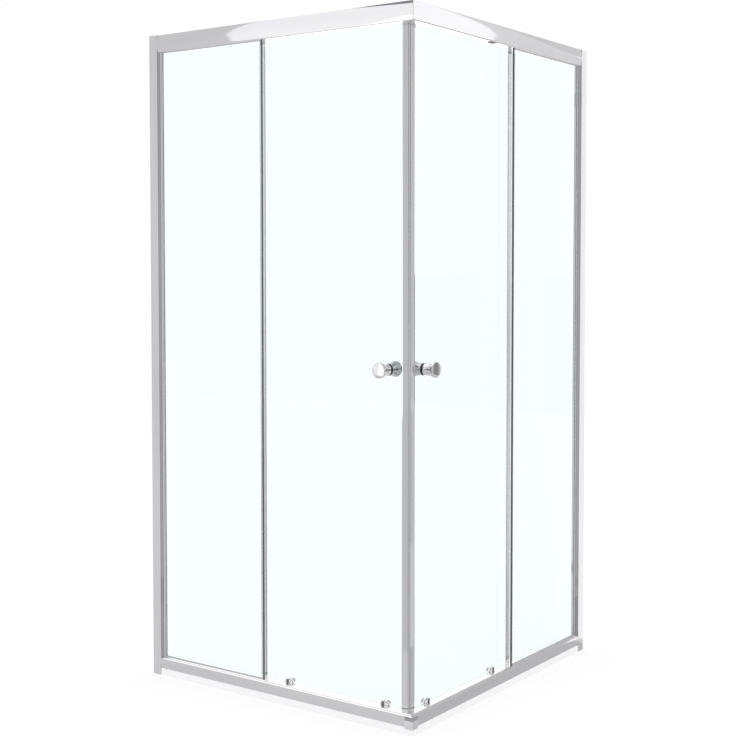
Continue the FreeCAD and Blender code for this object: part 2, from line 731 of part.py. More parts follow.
def make_knobs(leg):
    """Inner knob with a stud through the glass, outer knob screwed on that stud, and a bush under each."""
    bushes = []
    end = "(dim.bush_thick + dim.knob_reach)"
    bore = "dim.stud_radius + dim.screw_play"
    bore_end = "dim.bush_thick + dim.knob_bore"
    stud_end = "-(dim.glass_thick + dim.bush_thick + dim.stud_bite)"
    hollow = [(bore_end, "0"), (bore_end, bore), ("dim.bush_thick", bore)]
    stud = [(stud_end, "0"), (stud_end, "dim.stud_radius"), ("dim.bush_thick", "dim.stud_radius")]
    for side, sign, face, core in (("outer", -1, "dim.door_plane", hollow), ("inner", 1, DOOR_IN, stud)):
        name = f"{side}_knob_{leg.name}"
        knob = turned_body(name, leg, KNOB_PLACE, face, "dim.knob_height")
        places = [
            ("dim.bush_thick", "dim.knob_waist"),
            (f"{end} - dim.knob_rim", "dim.knob_radius"),
            (f"{end} - dim.knob_bevel", "dim.knob_radius"),
            (end, "dim.knob_radius - dim.knob_bevel"),
            (end, "0"),
            *core,
        ]
        turn(knob, [(f"{sign} * ({x})", r) for x, r in places], {0: ("dim.knob_sweep", -sign)})
        keep(name, knob)

        bush = turned_body(f"{side}_bush_{leg.name}", leg, KNOB_PLACE, face, "dim.knob_height")
        sleeve = "dim.knob_hole - dim.screw_play"
        places = [
            ("dim.bush_thick", bore),
            ("dim.bush_thick", "dim.knob_waist"),
            ("0", "dim.knob_waist"),
            ("0", sleeve),
            ("-1 * dim.bush_reach", sleeve),
            ("-1 * dim.bush_reach", bore),
        ]
        turn(bush, [(f"{sign} * ({x})", r) for x, r in places])
        bushes.append(bush)
    group(f"knob_bushes_{leg.name}", bushes)


def make_wheel(name, leg, place, axle_height, radius, flange, bore):
    """Grooved wheel that straddles the lip of a rail."""
    half = "dim.wheel_wide / 2"
    groove = "dim.lip_wall / 2 + dim.lip_play"
    rim = f"{radius} + {flange}"
    hole = f"{bore} + dim.bore_play"
    places = [
        (f"-({half})", hole),
        (f"-({half})", rim),
        (f"-({groove})", rim),
        (f"-({groove})", radius),
        (groove, radius),
        (groove, rim),
        (half, rim),
        (half, hole),
    ]
    body = turned_body(name, leg, place, WHEEL_MID, axle_height)
    turn(body, places)
    keep(name, body)


def make_top_rollers(leg):
    """Hangers turned in one piece with their axles and stems, the cap nuts on them, and the top wheels."""
    hangers = []
    nuts = []
    head_in = f"{WHEEL_OUT} - dim.axle_slack - dim.door_plane"
    head_out = f"{head_in} - dim.axle_head_thick"
    plate = f"{HOLDER} - dim.door_plane"
    stem_end = "dim.glass_thick + dim.stem_out"
    for end, place in ROLLERS.items():
        hanger = turned_body(f"hanger_{end}_{leg.name}", leg, place, "dim.door_plane", TOP_AXLE)
        places = [
            (head_out, "0"),
            (head_out, "dim.axle_head_radius"),
            (head_in, "dim.axle_head_radius"),
            (head_in, "dim.axle_radius"),
            (plate, "dim.axle_radius"),
            (plate, "dim.hanger_radius"),
            ("0", "dim.hanger_radius"),
            ("0", "dim.stem_radius"),
            (stem_end, "dim.stem_radius"),
            (stem_end, "0"),
        ]
        turn(hanger, places)
        hangers.append(hanger)

        nut = turned_body(f"nut_{end}_{leg.name}", leg, place, DOOR_IN, TOP_AXLE)
        bore = "dim.stem_radius + dim.screw_play"
        places = [
            ("0", bore),
            ("0", "dim.nut_radius"),
            ("dim.nut_tall - dim.nut_bevel", "dim.nut_radius"),
            ("dim.nut_tall", "dim.nut_radius - dim.nut_bevel"),
            ("dim.nut_tall", "0"),
            ("dim.nut_deep", "0"),
            ("dim.nut_deep", bore),
        ]
        turn(nut, places)
        nuts.append(nut)
        make_wheel(
            f"top_wheel_{end}_{leg.name}",
            leg,
            place,
            TOP_AXLE,
            "dim.wheel_radius",
            "dim.wheel_flange",
            "dim.axle_radius",
        )
    group(f"hangers_{leg.name}", hangers)
    group(f"hanger_nuts_{leg.name}", nuts)


def bracket_screw(place):
    """Place and height of the screw that holds the bracket of the roller at a place."""
    return f"{place} - dim.bracket_screw_place", f"{RAIL_LOW} + dim.bracket_screw_high"


def make_bracket(name, leg, place):
    """Humped bracket on the outer face of the door glass, its slot open above a ledge for the spring."""
    half_slot = "(dim.carrier_wide / 2 + dim.play)"
    slot_end = "dim.door_plane - dim.bracket_back"
    outer = "dim.door_plane - dim.bracket_thick"
    foot = f"{RAIL_LOW} + dim.bracket_foot"
    top = f"{RAIL_LOW} + dim.bracket_high"
    cheek = f"{place} + {half_slot} + dim.bracket_cheek"
    shoulder = f"{place} - {half_slot}"
    body = leg_body(name, leg)
    block = elevation(body, leg, "dim.door_plane - dim.bracket_thick / 2")
    points = [(cheek, foot), (cheek, top), (shoulder, top), (f"{shoulder} - dim.bracket_hump", foot)]
    outline(block, points, {2: ("dim.bracket_round", -1)})
    pad(body, block, "dim.bracket_thick", both=True)
    slot = plan(body)
    slot_side = f"{place} + {half_slot}"
    rectangle(slot, shoulder, slot_side, across(leg, f"{HOLDER} - dim.play"), across(leg, slot_end))
    pocket(body, slot)
    front = plan(body, f"({LEDGE} + {top}) / 2")
    rectangle(front, shoulder, slot_side, across(leg, outer), across(leg, slot_end))
    pocket(body, front, f"{top} - {LEDGE}")
    hole = elevation(body, leg, "dim.door_plane")
    screw_u, screw_z = bracket_screw(place)
    circle(hole, screw_u, screw_z, "dim.screw_radius + dim.screw_play")
    pocket(body, hole)
    return body


def make_carrier(name, leg, place):
    """Plate that slides in the bracket, with the bored post that is pressed and the bottom wheel's axle."""
    half = "dim.carrier_wide / 2"
    head_in = f"({WHEEL_OUT} - dim.axle_slack)"
    body = leg_body(name, leg)
    plate = elevation(body, leg, f"{HOLDER} + dim.carrier_thick / 2")
    rectangle(
        plate,
        f"{place} - {half}",
        f"{place} + {half}",
        f"{LOW_AXLE} - dim.carrier_low",
        POST_HIGH,
    )
    pad(body, plate, "dim.carrier_thick", both=True)
    post = elevation(body, leg, f"{CARRIER_IN} - dim.post_thick / 2")
    rectangle(post, f"{place} - {half}", f"{place} + {half}", POST_LOW, POST_HIGH)
    pad(body, post, "dim.post_thick", both=True)
    roof = f"{POST_HIGH} - dim.post_roof"
    bore = plan(body, f"({POST_LOW} + {roof}) / 2")
    circle(bore, place, across(leg, SPRING_MID), "dim.post_bore")
    pocket(body, bore, f"{roof} - {POST_LOW}")
    axle = elevation(body, leg, f"({head_in} + {HOLDER}) / 2")
    circle(axle, place, LOW_AXLE, "dim.low_axle_radius")
    pad(body, axle, f"{HOLDER} - {head_in}", both=True)
    head = elevation(body, leg, f"{head_in} - dim.low_head_thick / 2")
    circle(head, place, LOW_AXLE, "dim.low_head_radius")
    pad(body, head, "dim.low_head_thick", both=True)
    keep(name, body)


def make_spring(name, leg, place):
    """Coil between the bracket's ledge and the roof of the bore in the carrier's post."""
    start = f"{LEDGE} + dim.spring_wire"
    rise = f"{POST_HIGH} - dim.post_roof - dim.spring_wire - ({start})"
    coil = doc.addObject("Part::Helix", f"{name}_coil")
    put(coil, leg, place, SPRING_MID, start, FreeCAD.Rotation())
    coil.setExpression("Radius", "dim.spring_radius")
    coil.setExpression("Height", rise)
    coil.setExpression("Pitch", f"({rise}) / {SPRING_TURNS}")
    wire = doc.addObject("Part::Circle", f"{name}_wire")
    wire.setExpression("Radius", "dim.spring_wire")
    put(wire, leg, place, SPRING_MID, start, FreeCAD.Rotation(UP, FreeCAD.Vector(0, -1, 0)))
    x, _ = spot(leg, place, SPRING_MID)
    wire.setExpression("Placement.Base.x", f"{x} + dim.spring_radius")
    doc.recompute()
    spring = doc.addObject("Part::Sweep", name)
    spring.Sections = [wire]
    spring.Spine = (coil, [f"Edge{number}" for number in range(1, len(coil.Shape.Edges) + 1)])
    spring.Solid = True
    spring.Frenet = True
    return spring


def make_bottom_rollers(leg):
    """Brackets, their screws, the sprung carriers with their springs, and the bottom wheels."""
    brackets = []
    screws = []
    springs = []
    screw_start = "dim.bracket_screw_short - dim.bracket_thick"
    screw_end = "dim.glass_thick + dim.bracket_head_tall"
    for end, place in ROLLERS.items():
        brackets.append(make_bracket(f"bracket_{end}_{leg.name}", leg, place))
        screw_u, screw_z = bracket_screw(place)
        screw = turned_body(f"bracket_screw_{end}_{leg.name}", leg, screw_u, "dim.door_plane", screw_z)
        places = [
            (screw_start, "0"),
            (screw_start, "dim.screw_radius"),
            ("dim.glass_thick", "dim.screw_radius"),
            ("dim.glass_thick", "dim.bracket_head_radius"),
            (screw_end, "dim.bracket_head_radius"),
            (screw_end, "0"),
        ]
        turn(screw, places)
        screws.append(screw)
        make_carrier(f"carrier_{end}_{leg.name}", leg, place)
        springs.append(make_spring(f"spring_{end}_{leg.name}", leg, place))
        make_wheel(
            f"bottom_wheel_{end}_{leg.name}",
            leg,
            place,
            LOW_AXLE,
            "dim.low_wheel_radius",
            "dim.low_wheel_flange",
            "dim.low_axle_radius",
        )
    group(f"brackets_{leg.name}", brackets)
    group(f"bracket_screws_{leg.name}", screws)
    group(f"release_springs_{leg.name}", springs)


def headed_screw(body, length):
    """Screw along the body's x axis: head on the plus side of the origin, shank on the minus side."""
    places = [
        (f"-({length})", "0"),
        (f"-({length})", "dim.screw_radius"),
        ("0", "dim.screw_radius"),
        ("0", "dim.screw_head_radius"),
        ("dim.screw_head_tall", "dim.screw_head_radius"),
        ("dim.screw_head_tall", "0"),
    ]
    turn(body, places)


def make_stile_screws():
    """Screws through the channels' inner flanges into the stiles."""
    screws = []
    for leg in LEGS:
        for number, z in enumerate(STILE_SCREW_HEIGHTS):
            name = f"stile_screw_{leg.name}_{number}"
            screw = turned_body(name, leg, "dim.leg - dim.channel_deep / 2", "dim.channel_wide", z)
            headed_screw(screw, "dim.stile_screw_long")
            screws.append(screw)
    return screws


def make_rail_ends():
    """Blocks in the wall ends of the rails and the screws that hold them to the stiles."""
    blocks = []
    screws = []
    for leg in LEGS:
        for rail in RAILS:
            low, high = (rail_height(rail, rise) for rise in block_heights(rail))
            block = leg_body(f"end_block_{rail.name}_{leg.name}", leg)
            face = section(block, f"{MOUTH} - dim.end_block_long")
            rectangle(face, across(leg, block_outer(rail)), across(leg, "dim.block_inner"), low, high)
            depth = end_screw_depth(rail)
            circle(face, across(leg, depth), block_middle(rail), "dim.screw_radius + dim.screw_play")
            pad(block, face, "dim.end_block_long")
            blocks.append(block)

            toward_wall = FreeCAD.Rotation(UP, leg.turn).multVec(ALONG)
            name = f"rail_screw_{rail.name}_{leg.name}"
            seat = f"{MOUTH} + dim.stile_wall"
            screw = turned_body(name, leg, seat, depth, block_middle(rail), toward_wall)
            headed_screw(screw, "dim.rail_screw_long")
            screws.append(screw)
    group("rail_end_blocks", blocks)
    return screws


def make_corner_connectors():
    """L blocks inside the mitred rail ends, clamped by set screws against the rails' outer walls."""
    connectors = []
    set_screws = []
    for rail in RAILS:
        name = f"{rail.name}_corner_connector"
        outer = block_outer(rail)
        inner = "dim.block_inner"
        arm = "dim.corner_long"
        low, high = (rail_height(rail, rise) for rise in block_heights(rail))
        if rail is BOTTOM:
            low, high = high, low
        body = leg_body(name, RIGHT)
        sketch = plan(body, low)
        places = [(outer, outer), (arm, outer), (arm, inner), (inner, inner), (inner, arm), (outer, arm)]
        outline(sketch, places)
        pad(body, sketch, f"({high}) - ({low})")
        middle = block_middle(rail)
        right_holes = elevation(body, RIGHT, "0")
        left_holes = section(body)
        for order in range(SET_SCREWS):
            place = f"dim.set_screw_first + {order} * dim.set_screw_pitch"
            circle(right_holes, place, middle, "dim.set_screw_radius + dim.screw_play")
            circle(left_holes, place, middle, "dim.set_screw_radius + dim.screw_play")
            for leg in LEGS:
                screw = doc.addObject("Part::Cylinder", f"set_screw_{rail.name}_{leg.name}_{order}")
                wall_face = f"{rail.bulge} + dim.rail_wall"
                put(screw, leg, place, wall_face, middle, FreeCAD.Rotation(UP, leg.inward))
                screw.setExpression("Radius", "dim.set_screw_radius")
                screw.setExpression("Height", f"{inner} + dim.set_screw_show - ({wall_face})")
                set_screws.append(screw)
        pocket(body, right_holes)
        pocket(body, left_holes)
        connectors.append(body)
    group("corner_connectors", connectors)
    group("corner_set_screws", set_screws)


def make_corner_cap():
    """Thin cap round the outside of the bottom rails' corner, its upright outer edges rounded."""
    thick = "-1 * dim.corner_cap_thick"
    arm = "dim.corner_cap_arm"
    body = leg_body("corner_cap", RIGHT)
    sketch = plan(body, "dim.sill_tall - dim.corner_cap_drop")
    outline(sketch, [(thick, thick), (arm, thick), (arm, "0"), ("0", "0"), ("0", arm), (thick, arm)])
    pad(body, sketch, "dim.corner_cap_tall")
    doc.recompute()
    padded = body.Tip
    skin = value(thick)
    rounded = []
    for number, edge in enumerate(padded.Shape.Edges, 1):
        ends = [vertex.Point for vertex in edge.Vertexes]
        upright = abs(ends[0].z - ends[1].z) > abs(skin)
        if upright and skin in (round(ends[0].x, 6), round(ends[0].y, 6)):
            rounded.append(f"Edge{number}")
    fillet = body.newObject("PartDesign::Fillet", "corner_cap_round")
    fillet.Base = (padded, rounded)
    fillet.setExpression("Radius", "dim.corner_cap_round")
    keep("corner_cap", body)


def make_door_stops():
    """Rubber blocks in the track of the top rails that the wheels meet at either end of the doors' travel."""
    web = f"{RAIL_HIGH} + dim.rail_wall"
    depth = (TRACK_OUT, "dim.lip_place")
    rise = (web, f"{web} + dim.stop_tall")
    shut = f"{ROLLERS['lead']} - dim.wheel_radius - dim.wheel_flange - dim.stop_gap"
    opened = f"{MOUTH} - dim.open_stop_place"
    stops = []
    for leg in LEGS:
        for name, ends in (
            ("shut", (f"{shut} - dim.stop_long", shut)),
            ("open", (opened, f"{opened} + dim.stop_long")),
        ):
            stops.append(leg_box(f"stop_{name}_{leg.name}", leg, ends, depth, rise))
    group("door_stops", stops)


for leg in LEGS:
    make_rail(TOP, leg)
    make_rail(BOTTOM, leg)
    make_sill(leg)
    make_wall_channel(leg)
    make_stile(leg)
    make_fixed_pane(leg)
    make_groove_fillers(leg)
    make_door_glass(leg)
    make_lead_profile(leg)
    make_tail_profile(leg)
    make_knobs(leg)
    make_top_rollers(leg)
    make_bottom_rollers(leg)
group("frame_screws", make_stile_screws() + make_rail_ends())
make_corner_connectors()
make_corner_cap()
make_door_stops()
doc.recompute()

for obj in doc.Objects:
    if "Invalid" in obj.State or "Error" in obj.State:
        raise RuntimeError(f"{obj.Name} did not build: {obj.State}")

os.makedirs("parts", exist_ok=True)
for name, obj in parts.items():
    if obj.Shape.isNull() or not obj.Shape.isValid():
        raise RuntimeError(f"{name} has no valid shape")
    obj.Shape.exportStep(f"parts/{name}.step")
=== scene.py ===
import bmesh
import bpy
import numpy as np
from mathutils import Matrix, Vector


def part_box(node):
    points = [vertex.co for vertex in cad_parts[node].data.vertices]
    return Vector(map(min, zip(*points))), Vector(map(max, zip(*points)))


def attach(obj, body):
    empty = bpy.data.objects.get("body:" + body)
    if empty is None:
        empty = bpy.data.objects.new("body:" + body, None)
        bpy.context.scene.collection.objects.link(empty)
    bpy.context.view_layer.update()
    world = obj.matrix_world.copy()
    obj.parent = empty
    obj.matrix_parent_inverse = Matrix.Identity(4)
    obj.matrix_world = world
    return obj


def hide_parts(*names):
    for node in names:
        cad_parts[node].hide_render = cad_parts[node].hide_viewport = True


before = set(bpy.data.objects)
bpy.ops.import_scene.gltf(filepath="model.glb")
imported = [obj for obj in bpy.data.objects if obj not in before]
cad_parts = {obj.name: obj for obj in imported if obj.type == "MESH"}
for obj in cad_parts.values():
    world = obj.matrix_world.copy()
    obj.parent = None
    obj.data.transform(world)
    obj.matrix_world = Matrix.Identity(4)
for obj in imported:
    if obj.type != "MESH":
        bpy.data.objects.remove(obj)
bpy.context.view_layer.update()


# The sills: a white strip under each bottom rail, an open channel cut to a mitre at the corner, which lifts
# the aluminium off the floor. Its white is a painted reflection of the white floor in the rails' curved
# feet.
SIDES = ("left", "right")
rail_low, rail_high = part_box("bottom_rail_left")
corner = rail_high.x
rail_end = corner - rail_low.x
sill_low, sill_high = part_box("sill_left")
sill_depth = sill_high.y - sill_low.y
sill_top = sill_high.z
sill_wall = 0.003
sill_batter = 0.0008
sill_edge = 0.0005
sill_shoulder = 0.0015
sill_joint = 0.00005
merge_distance = 1e-7
grain_dark = 0.3
grain_light = 0.7


def on_leg(side, u, v, z):
    """Points of one leg: u runs along it from the outer corner, v inwards from its outer face, z up.

    The left leg lies along x and the right leg along y, its mirror image across the corner's diagonal.
    """
    u, v, z = np.broadcast_arrays(u, v, z)
    if side == "left":
        return np.stack([corner - u, v - corner, z], axis=-1)
    return np.stack([corner - v, u - corner, z], axis=-1)


def rounded(corners, steps=4):
    """Closed outline through corners (a, b, radius), each radius an arc tangent to both sides there.

    The arc's centre lies on the corner's bisector, radius / sin(half angle) away, and its points turn
    evenly from the first tangent point to the second one.
    """
    places = np.array([place[:2] for place in corners], float)
    pieces = []
    for before, place, after, (_, _, radius) in zip(
        np.roll(places, 1, axis=0), places, np.roll(places, -1, axis=0), corners
    ):
        if radius == 0:
            pieces.append(place[None])
            continue
        back = (before - place) / np.linalg.norm(before - place)
        ahead = (after - place) / np.linalg.norm(after - place)
        half = np.arccos(np.clip(back @ ahead, -1, 1)) / 2
        bisector = (back + ahead) / np.linalg.norm(back + ahead)
        centre = place + bisector * radius / np.sin(half)
        start = place + back * radius / np.tan(half) - centre
        end = place + ahead * radius / np.tan(half) - centre
        turn = np.pi - 2 * half
        share = np.linspace(0, 1, steps + 1)[:, None]
        arc = (np.sin((1 - share) * turn) * start + np.sin(share * turn) * end) / np.sin(turn)
        pieces.append(centre + arc)
    return np.concatenate(pieces)


def skin(name, grids, ends="flat", ring_closed=True):
    """Closed mesh over grids of points, grid[ring, point]: quads join each ring to the next one.

    A ring closes on itself where ring_closed is set. The end rings get a flat face each, or are joined to
    each other, or meet by themselves. Points that meet, as at a pole or a rim, are merged.
    """
    faces = []
    smooth = []
    first = 0
    for grid in grids:
        rings, points = grid.shape[:2]
        index = first + np.arange(rings * points).reshape(rings, points)
        caps = [index[0].tolist(), index[-1, ::-1].tolist()] if ends == "flat" else []
        if ends == "joined":
            index = np.vstack([index, index[:1]])
        if ring_closed:
            index = np.hstack([index, index[:, :1]])
        quads = np.stack([index[:-1, :-1], index[:-1, 1:], index[1:, 1:], index[1:, :-1]], axis=-1)
        quads = quads.reshape(-1, 4).tolist()
        faces += quads + caps
        smooth += [True] * len(quads) + [False] * len(caps)
        first += rings * points
    mesh = bpy.data.meshes.new(name)
    mesh.from_pydata(np.concatenate([grid.reshape(-1, 3) for grid in grids]).tolist(), [], faces)
    mesh.polygons.foreach_set("use_smooth", smooth)
    form = bmesh.new()
    form.from_mesh(mesh)
    bmesh.ops.remove_doubles(form, verts=form.verts, dist=merge_distance)
    bmesh.ops.recalc_face_normals(form, faces=form.faces)
    form.to_mesh(mesh)
    form.free()
    piece = bpy.data.objects.new(name, mesh)
    bpy.context.scene.collection.objects.link(piece)
    shading = piece.modifiers.new("Flat faces stay flat", "WEIGHTED_NORMAL")
    shading.keep_sharp = True
    return piece


def mitred(name, side, outline, gap):
    """Outline of (v, z) points carried along a leg from the mitre, at u = v + gap, to the rails' end."""
    v, z = outline.T
    return skin(name, [np.stack([on_leg(side, v + gap, v, z), on_leg(side, rail_end, v, z)])])


def finish(name):
    """New node material, with its tree and its shader."""
    material = bpy.data.materials.new(name)
    material.use_nodes = True
    return material, material.node_tree, material.node_tree.nodes["Principled BSDF"]


def grain(tree, repeats, detail=3.0):
    """Noise on object coordinates that repeats so many times a metre along x, y and z."""
    place = tree.nodes.new("ShaderNodeTexCoord")
    scale = tree.nodes.new("ShaderNodeMapping")
    scale.inputs["Scale"].default_value = repeats
    noise = tree.nodes.new("ShaderNodeTexNoise")
    noise.inputs["Scale"].default_value = 1.0
    noise.inputs["Detail"].default_value = detail
    tree.links.new(place.outputs["Object"], scale.inputs["Vector"])
    tree.links.new(scale.outputs["Vector"], noise.inputs["Vector"])
    return noise.outputs["Fac"]


def number_between(tree, factor, low, high, socket):
    """Feeds a socket with a number that runs from low to high as the grain goes from dark to light."""
    spread = tree.nodes.new("ShaderNodeMapRange")
    spread.inputs["From Min"].default_value = grain_dark
    spread.inputs["From Max"].default_value = grain_light
    spread.inputs["To Min"].default_value = low
    spread.inputs["To Max"].default_value = high
    tree.links.new(factor, spread.inputs["Value"])
    tree.links.new(spread.outputs["Result"], socket)


def colour_between(tree, factor, first, second, socket):
    """Feeds a socket with a colour that runs from first to second with the grain."""
    ramp = tree.nodes.new("ShaderNodeValToRGB")
    for stop, place, colour in zip(ramp.color_ramp.elements, (grain_dark, grain_light), (first, second)):
        stop.position = place
        stop.color = (*colour, 1.0)
    tree.links.new(factor, ramp.inputs["Fac"])
    tree.links.new(ramp.outputs["Color"], socket)


def relief(tree, factor, depth, strength, shader):
    """Lifts the surface by depth where the grain is light."""
    bump = tree.nodes.new("ShaderNodeBump")
    bump.inputs["Strength"].default_value = strength
    bump.inputs["Distance"].default_value = depth
    tree.links.new(factor, bump.inputs["Height"])
    tree.links.new(bump.outputs["Normal"], shader.inputs["Normal"])


def moulded(name, pale, deep, roughness, grain_repeats, grain_depth, transmission=0.0):
    """Plastic or rubber: two close tones in soft clouds, and a fine grain in its gloss and its surface."""
    clouds = (40, 40, 40)
    smoother, rougher = 0.85, 1.2
    grain_strength = 0.3
    material, tree, shader = finish(name)
    shader.inputs["Transmission Weight"].default_value = transmission
    colour_between(tree, grain(tree, clouds), deep, pale, shader.inputs["Base Color"])
    fine = grain(tree, grain_repeats)
    number_between(tree, fine, roughness * smoother, roughness * rougher, shader.inputs["Roughness"])
    relief(tree, fine, grain_depth, grain_strength, shader)
    return material


def fit(piece, material, slot, body, *nodes):
    """Gives a piece its material, lets it ride on its body and stand for the nodes it replaces. The slot is
    not used.
    """
    piece.data.materials.append(material)
    if nodes:
        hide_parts(*nodes)
    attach(piece, body)


sill_outline = rounded(
    [
        (0, 0, sill_edge),
        (sill_batter, sill_top, sill_shoulder),
        (sill_depth, sill_top, sill_shoulder),
        (sill_depth, 0, sill_edge),
        (sill_depth - sill_wall, 0, sill_edge),
        (sill_depth - sill_wall, sill_top - sill_wall, sill_edge),
        (sill_batter + sill_wall, sill_top - sill_wall, sill_edge),
        (sill_wall, 0, sill_edge),
    ]
)
# White that paints the floor's reflection in the rails' curved feet onto the sills.
white_pvc = moulded(
    "white_pvc",
    pale=(0.94, 0.94, 0.95),
    deep=(0.91, 0.91, 0.925),
    roughness=0.32,
    grain_repeats=(600,) * 3,
    grain_depth=0.00005,
)
for side in SIDES:
    strip = mitred(f"sill_strip_{side}", side, sill_outline, sill_joint)
    fit(strip, white_pvc, "white_pvc", "frame", f"sill_{side}")


# The bottom rails: bright-anodised aluminium extrusions with a glazing groove for the fixed pane and a
# lip on which the doors' lower wheels run. They are sawn to a mitre at the corner and butt against the
# stiles at the walls.
rail_wall = 0.0016
rail_depth = rail_high.y - rail_low.y
bottom_rail_low = rail_low.z
bottom_rail_top = rail_high.z
back_lip = 0.002
bottom_rail_bow = 0.0015
bottom_chamfer = 0.005
groove = (0.008, 0.015)
groove_deep = 0.010
lip = (0.026, 0.0275)
lip_top = 0.0056
rail_arris = 0.0008
rail_joint = 0.0005
inside_arris = 0.0004
bow_steps = 28


def rail_section(tall, bow, chamfer, edge_round):
    """Outline (v, rise) of a rail, rise counted from the edge that faces the glass.

    The outer face bows by an arc of radius (tall^2 / 4 + bow^2) / (2 bow). Where it meets that edge it is
    rounded, after a chamfer if there is one.
    """
    radius = (tall**2 / 4 + bow**2) / (2 * bow)
    rise = np.linspace(chamfer, tall - rail_arris, bow_steps + 1)[:-1]
    reach = radius - np.sqrt(radius**2 - (rise - tall / 2) ** 2)
    edge = [(bow + chamfer, 0, edge_round)]
    if chamfer:
        edge.append((reach[0], chamfer, edge_round))
    closed = tall - rail_wall
    clear = rise > chamfer + edge_round
    return rounded(
        [
            *edge,
            *((v, z, 0) for v, z in zip(reach[clear], rise[clear])),
            (bow, tall, rail_arris),
            (rail_depth, tall, rail_arris),
            (rail_depth, closed - back_lip, inside_arris),
            (rail_depth - rail_wall, closed - back_lip, inside_arris),
            (rail_depth - rail_wall, closed, inside_arris),
            (bow + rail_wall, closed, inside_arris),
            (bow + rail_wall, rail_wall, inside_arris),
            (groove[0] - rail_wall, rail_wall, inside_arris),
            (groove[0] - rail_wall, groove_deep + rail_wall, inside_arris),
            (groove[1] + rail_wall, groove_deep + rail_wall, inside_arris),
            (groove[1] + rail_wall, rail_wall, inside_arris),
            (lip[0], rail_wall, inside_arris),
            (lip[0], lip_top, inside_arris),
            (lip[1], lip_top, inside_arris),
            (lip[1], 0, inside_arris),
            (groove[1], 0, inside_arris),
            (groove[1], groove_deep, inside_arris),
            (groove[0], groove_deep, inside_arris),
            (groove[0], 0, inside_arris),
        ]
    )


def drawn_aluminium(name, axis, dull, bright, roughness):
    """Aluminium with faint die lines along the axis of the extrusion and a slow change of tone."""
    lines = [700.0, 700.0, 700.0]
    lines[axis] = 2.5
    line_depth = 0.00004
    line_strength = 0.02
    clouds = [25.0, 25.0, 25.0]
    clouds[axis] = 2.0
    smoother, rougher = 0.75, 1.25
    material, tree, shader = finish(name)
    shader.inputs["Metallic"].default_value = 1.0
    colour_between(tree, grain(tree, clouds), dull, bright, shader.inputs["Base Color"])
    drawn = grain(tree, lines)
    number_between(tree, drawn, smoother * roughness, rougher * roughness, shader.inputs["Roughness"])
    relief(tree, drawn, line_depth, line_strength, shader)
    return material


def paint_highlight_faces(rail, material, way):
    """Gives a rail's faces that look up, for way 1, or down, for way -1, a paler copy of its aluminium: a
    painted highlight.
    """
    nearly_level = 0.9
    normals = np.empty(3 * len(rail.data.polygons))
    rail.data.polygons.foreach_get("normal", normals)
    rail.data.materials.append(material)
    rail.data.polygons.foreach_set("material_index", (way * normals[2::3] > nearly_level).astype(int))


AXES = {"left": 0, "right": 1, "upright": 2}
polish_tones = (0.545, 0.545, 0.565), (0.585, 0.583, 0.600)
# The paler tones are a painted highlight on the rails' level faces, the bottom rails' tops and the top
# rails' undersides.
painted_highlight_tones = (0.84, 0.84, 0.85), (0.90, 0.90, 0.91)
aluminium_along = {
    way: drawn_aluminium(f"aluminium_{way}", axis, *polish_tones, roughness=0.03)
    for way, axis in AXES.items()
}
painted_highlight_along = {
    side: drawn_aluminium(f"painted_highlight_{side}", AXES[side], *painted_highlight_tones, roughness=0.15)
    for side in SIDES
}
bottom_rail_tall = bottom_rail_top - bottom_rail_low
bottom_section = rail_section(bottom_rail_tall, bottom_rail_bow, bottom_chamfer, rail_arris)
bottom_section = bottom_section * (1, -1) + (0, bottom_rail_top)
for side in SIDES:
    rail = mitred(f"bottom_track_{side}", side, bottom_section, rail_joint)
    fit(rail, aluminium_along[side], "polished_aluminium", "frame", f"bottom_rail_{side}")
    # Their tops get the paler copy of the aluminium: a painted highlight.
    paint_highlight_faces(rail, painted_highlight_along[side], way=1)


# The brush seals: a pale pile strip along the inner edge of each bottom rail, in front of the doors. It
# keeps splashes out of the track and lets the doors' carriers pass behind it.
seal_gap = 0.0001
seal_wide = 0.0026
seal_drop = 0.0006
seal_tall = 0.0018
seal_round = 0.0005
seal_out = lip[1] + seal_gap
seal_top = bottom_rail_top - seal_drop
seal_outline = rounded(
    [
        (seal_out, seal_top - seal_tall, seal_round),
        (seal_out, seal_top, seal_round),
        (seal_out + seal_wide, seal_top, seal_round),
        (seal_out + seal_wide, seal_top - seal_tall, seal_round),
    ]
)
pale_pile = moulded(
    "pale_pile",
    pale=(0.72, 0.72, 0.73),
    deep=(0.58, 0.58, 0.59),
    roughness=0.8,
    grain_repeats=(2500, 2500, 400),
    grain_depth=0.0001,
)
for side in SIDES:
    fit(mitred(f"brush_seal_{side}", side, seal_outline, rail_joint), pale_pile, "white_nylon", "frame")


# The corner fittings: moulded L blocks pushed into the mitred ends of the rails, clamped by steel set
# screws, and moulded blocks in the rails' wall ends. Once assembled only the set screws' ends can be
# reached.
def dress(node, material):
    """Gives a node of the frame its material."""
    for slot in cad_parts[node].material_slots:
        slot.material = material


def turned_steel(name, tone):
    """Machined metal: a fine even tool grain that breaks up its gloss."""
    tool_repeats = (1500, 1500, 1500)
    tool_detail = 2.0
    tool_depth = 0.00003
    tool_strength = 0.15
    dulling = 0.92
    smooth, rough = 0.18, 0.30
    material, tree, shader = finish(name)
    shader.inputs["Metallic"].default_value = 1.0
    tool = grain(tree, tool_repeats, tool_detail)
    colour_between(tree, tool, [dulling * c for c in tone], tone, shader.inputs["Base Color"])
    number_between(tree, tool, smooth, rough, shader.inputs["Roughness"])
    relief(tree, tool, tool_depth, tool_strength, shader)
    return material


grey_plastic = moulded(
    "grey_plastic",
    pale=(0.125, 0.126, 0.130),
    deep=(0.095, 0.096, 0.100),
    roughness=0.45,
    grain_repeats=(2500,) * 3,
    grain_depth=0.00004,
)
stainless_steel = turned_steel("stainless_steel", (0.50, 0.50, 0.51))
for node in ("corner_connectors", "rail_end_blocks"):
    dress(node, grey_plastic)
dress("corner_set_screws", stainless_steel)


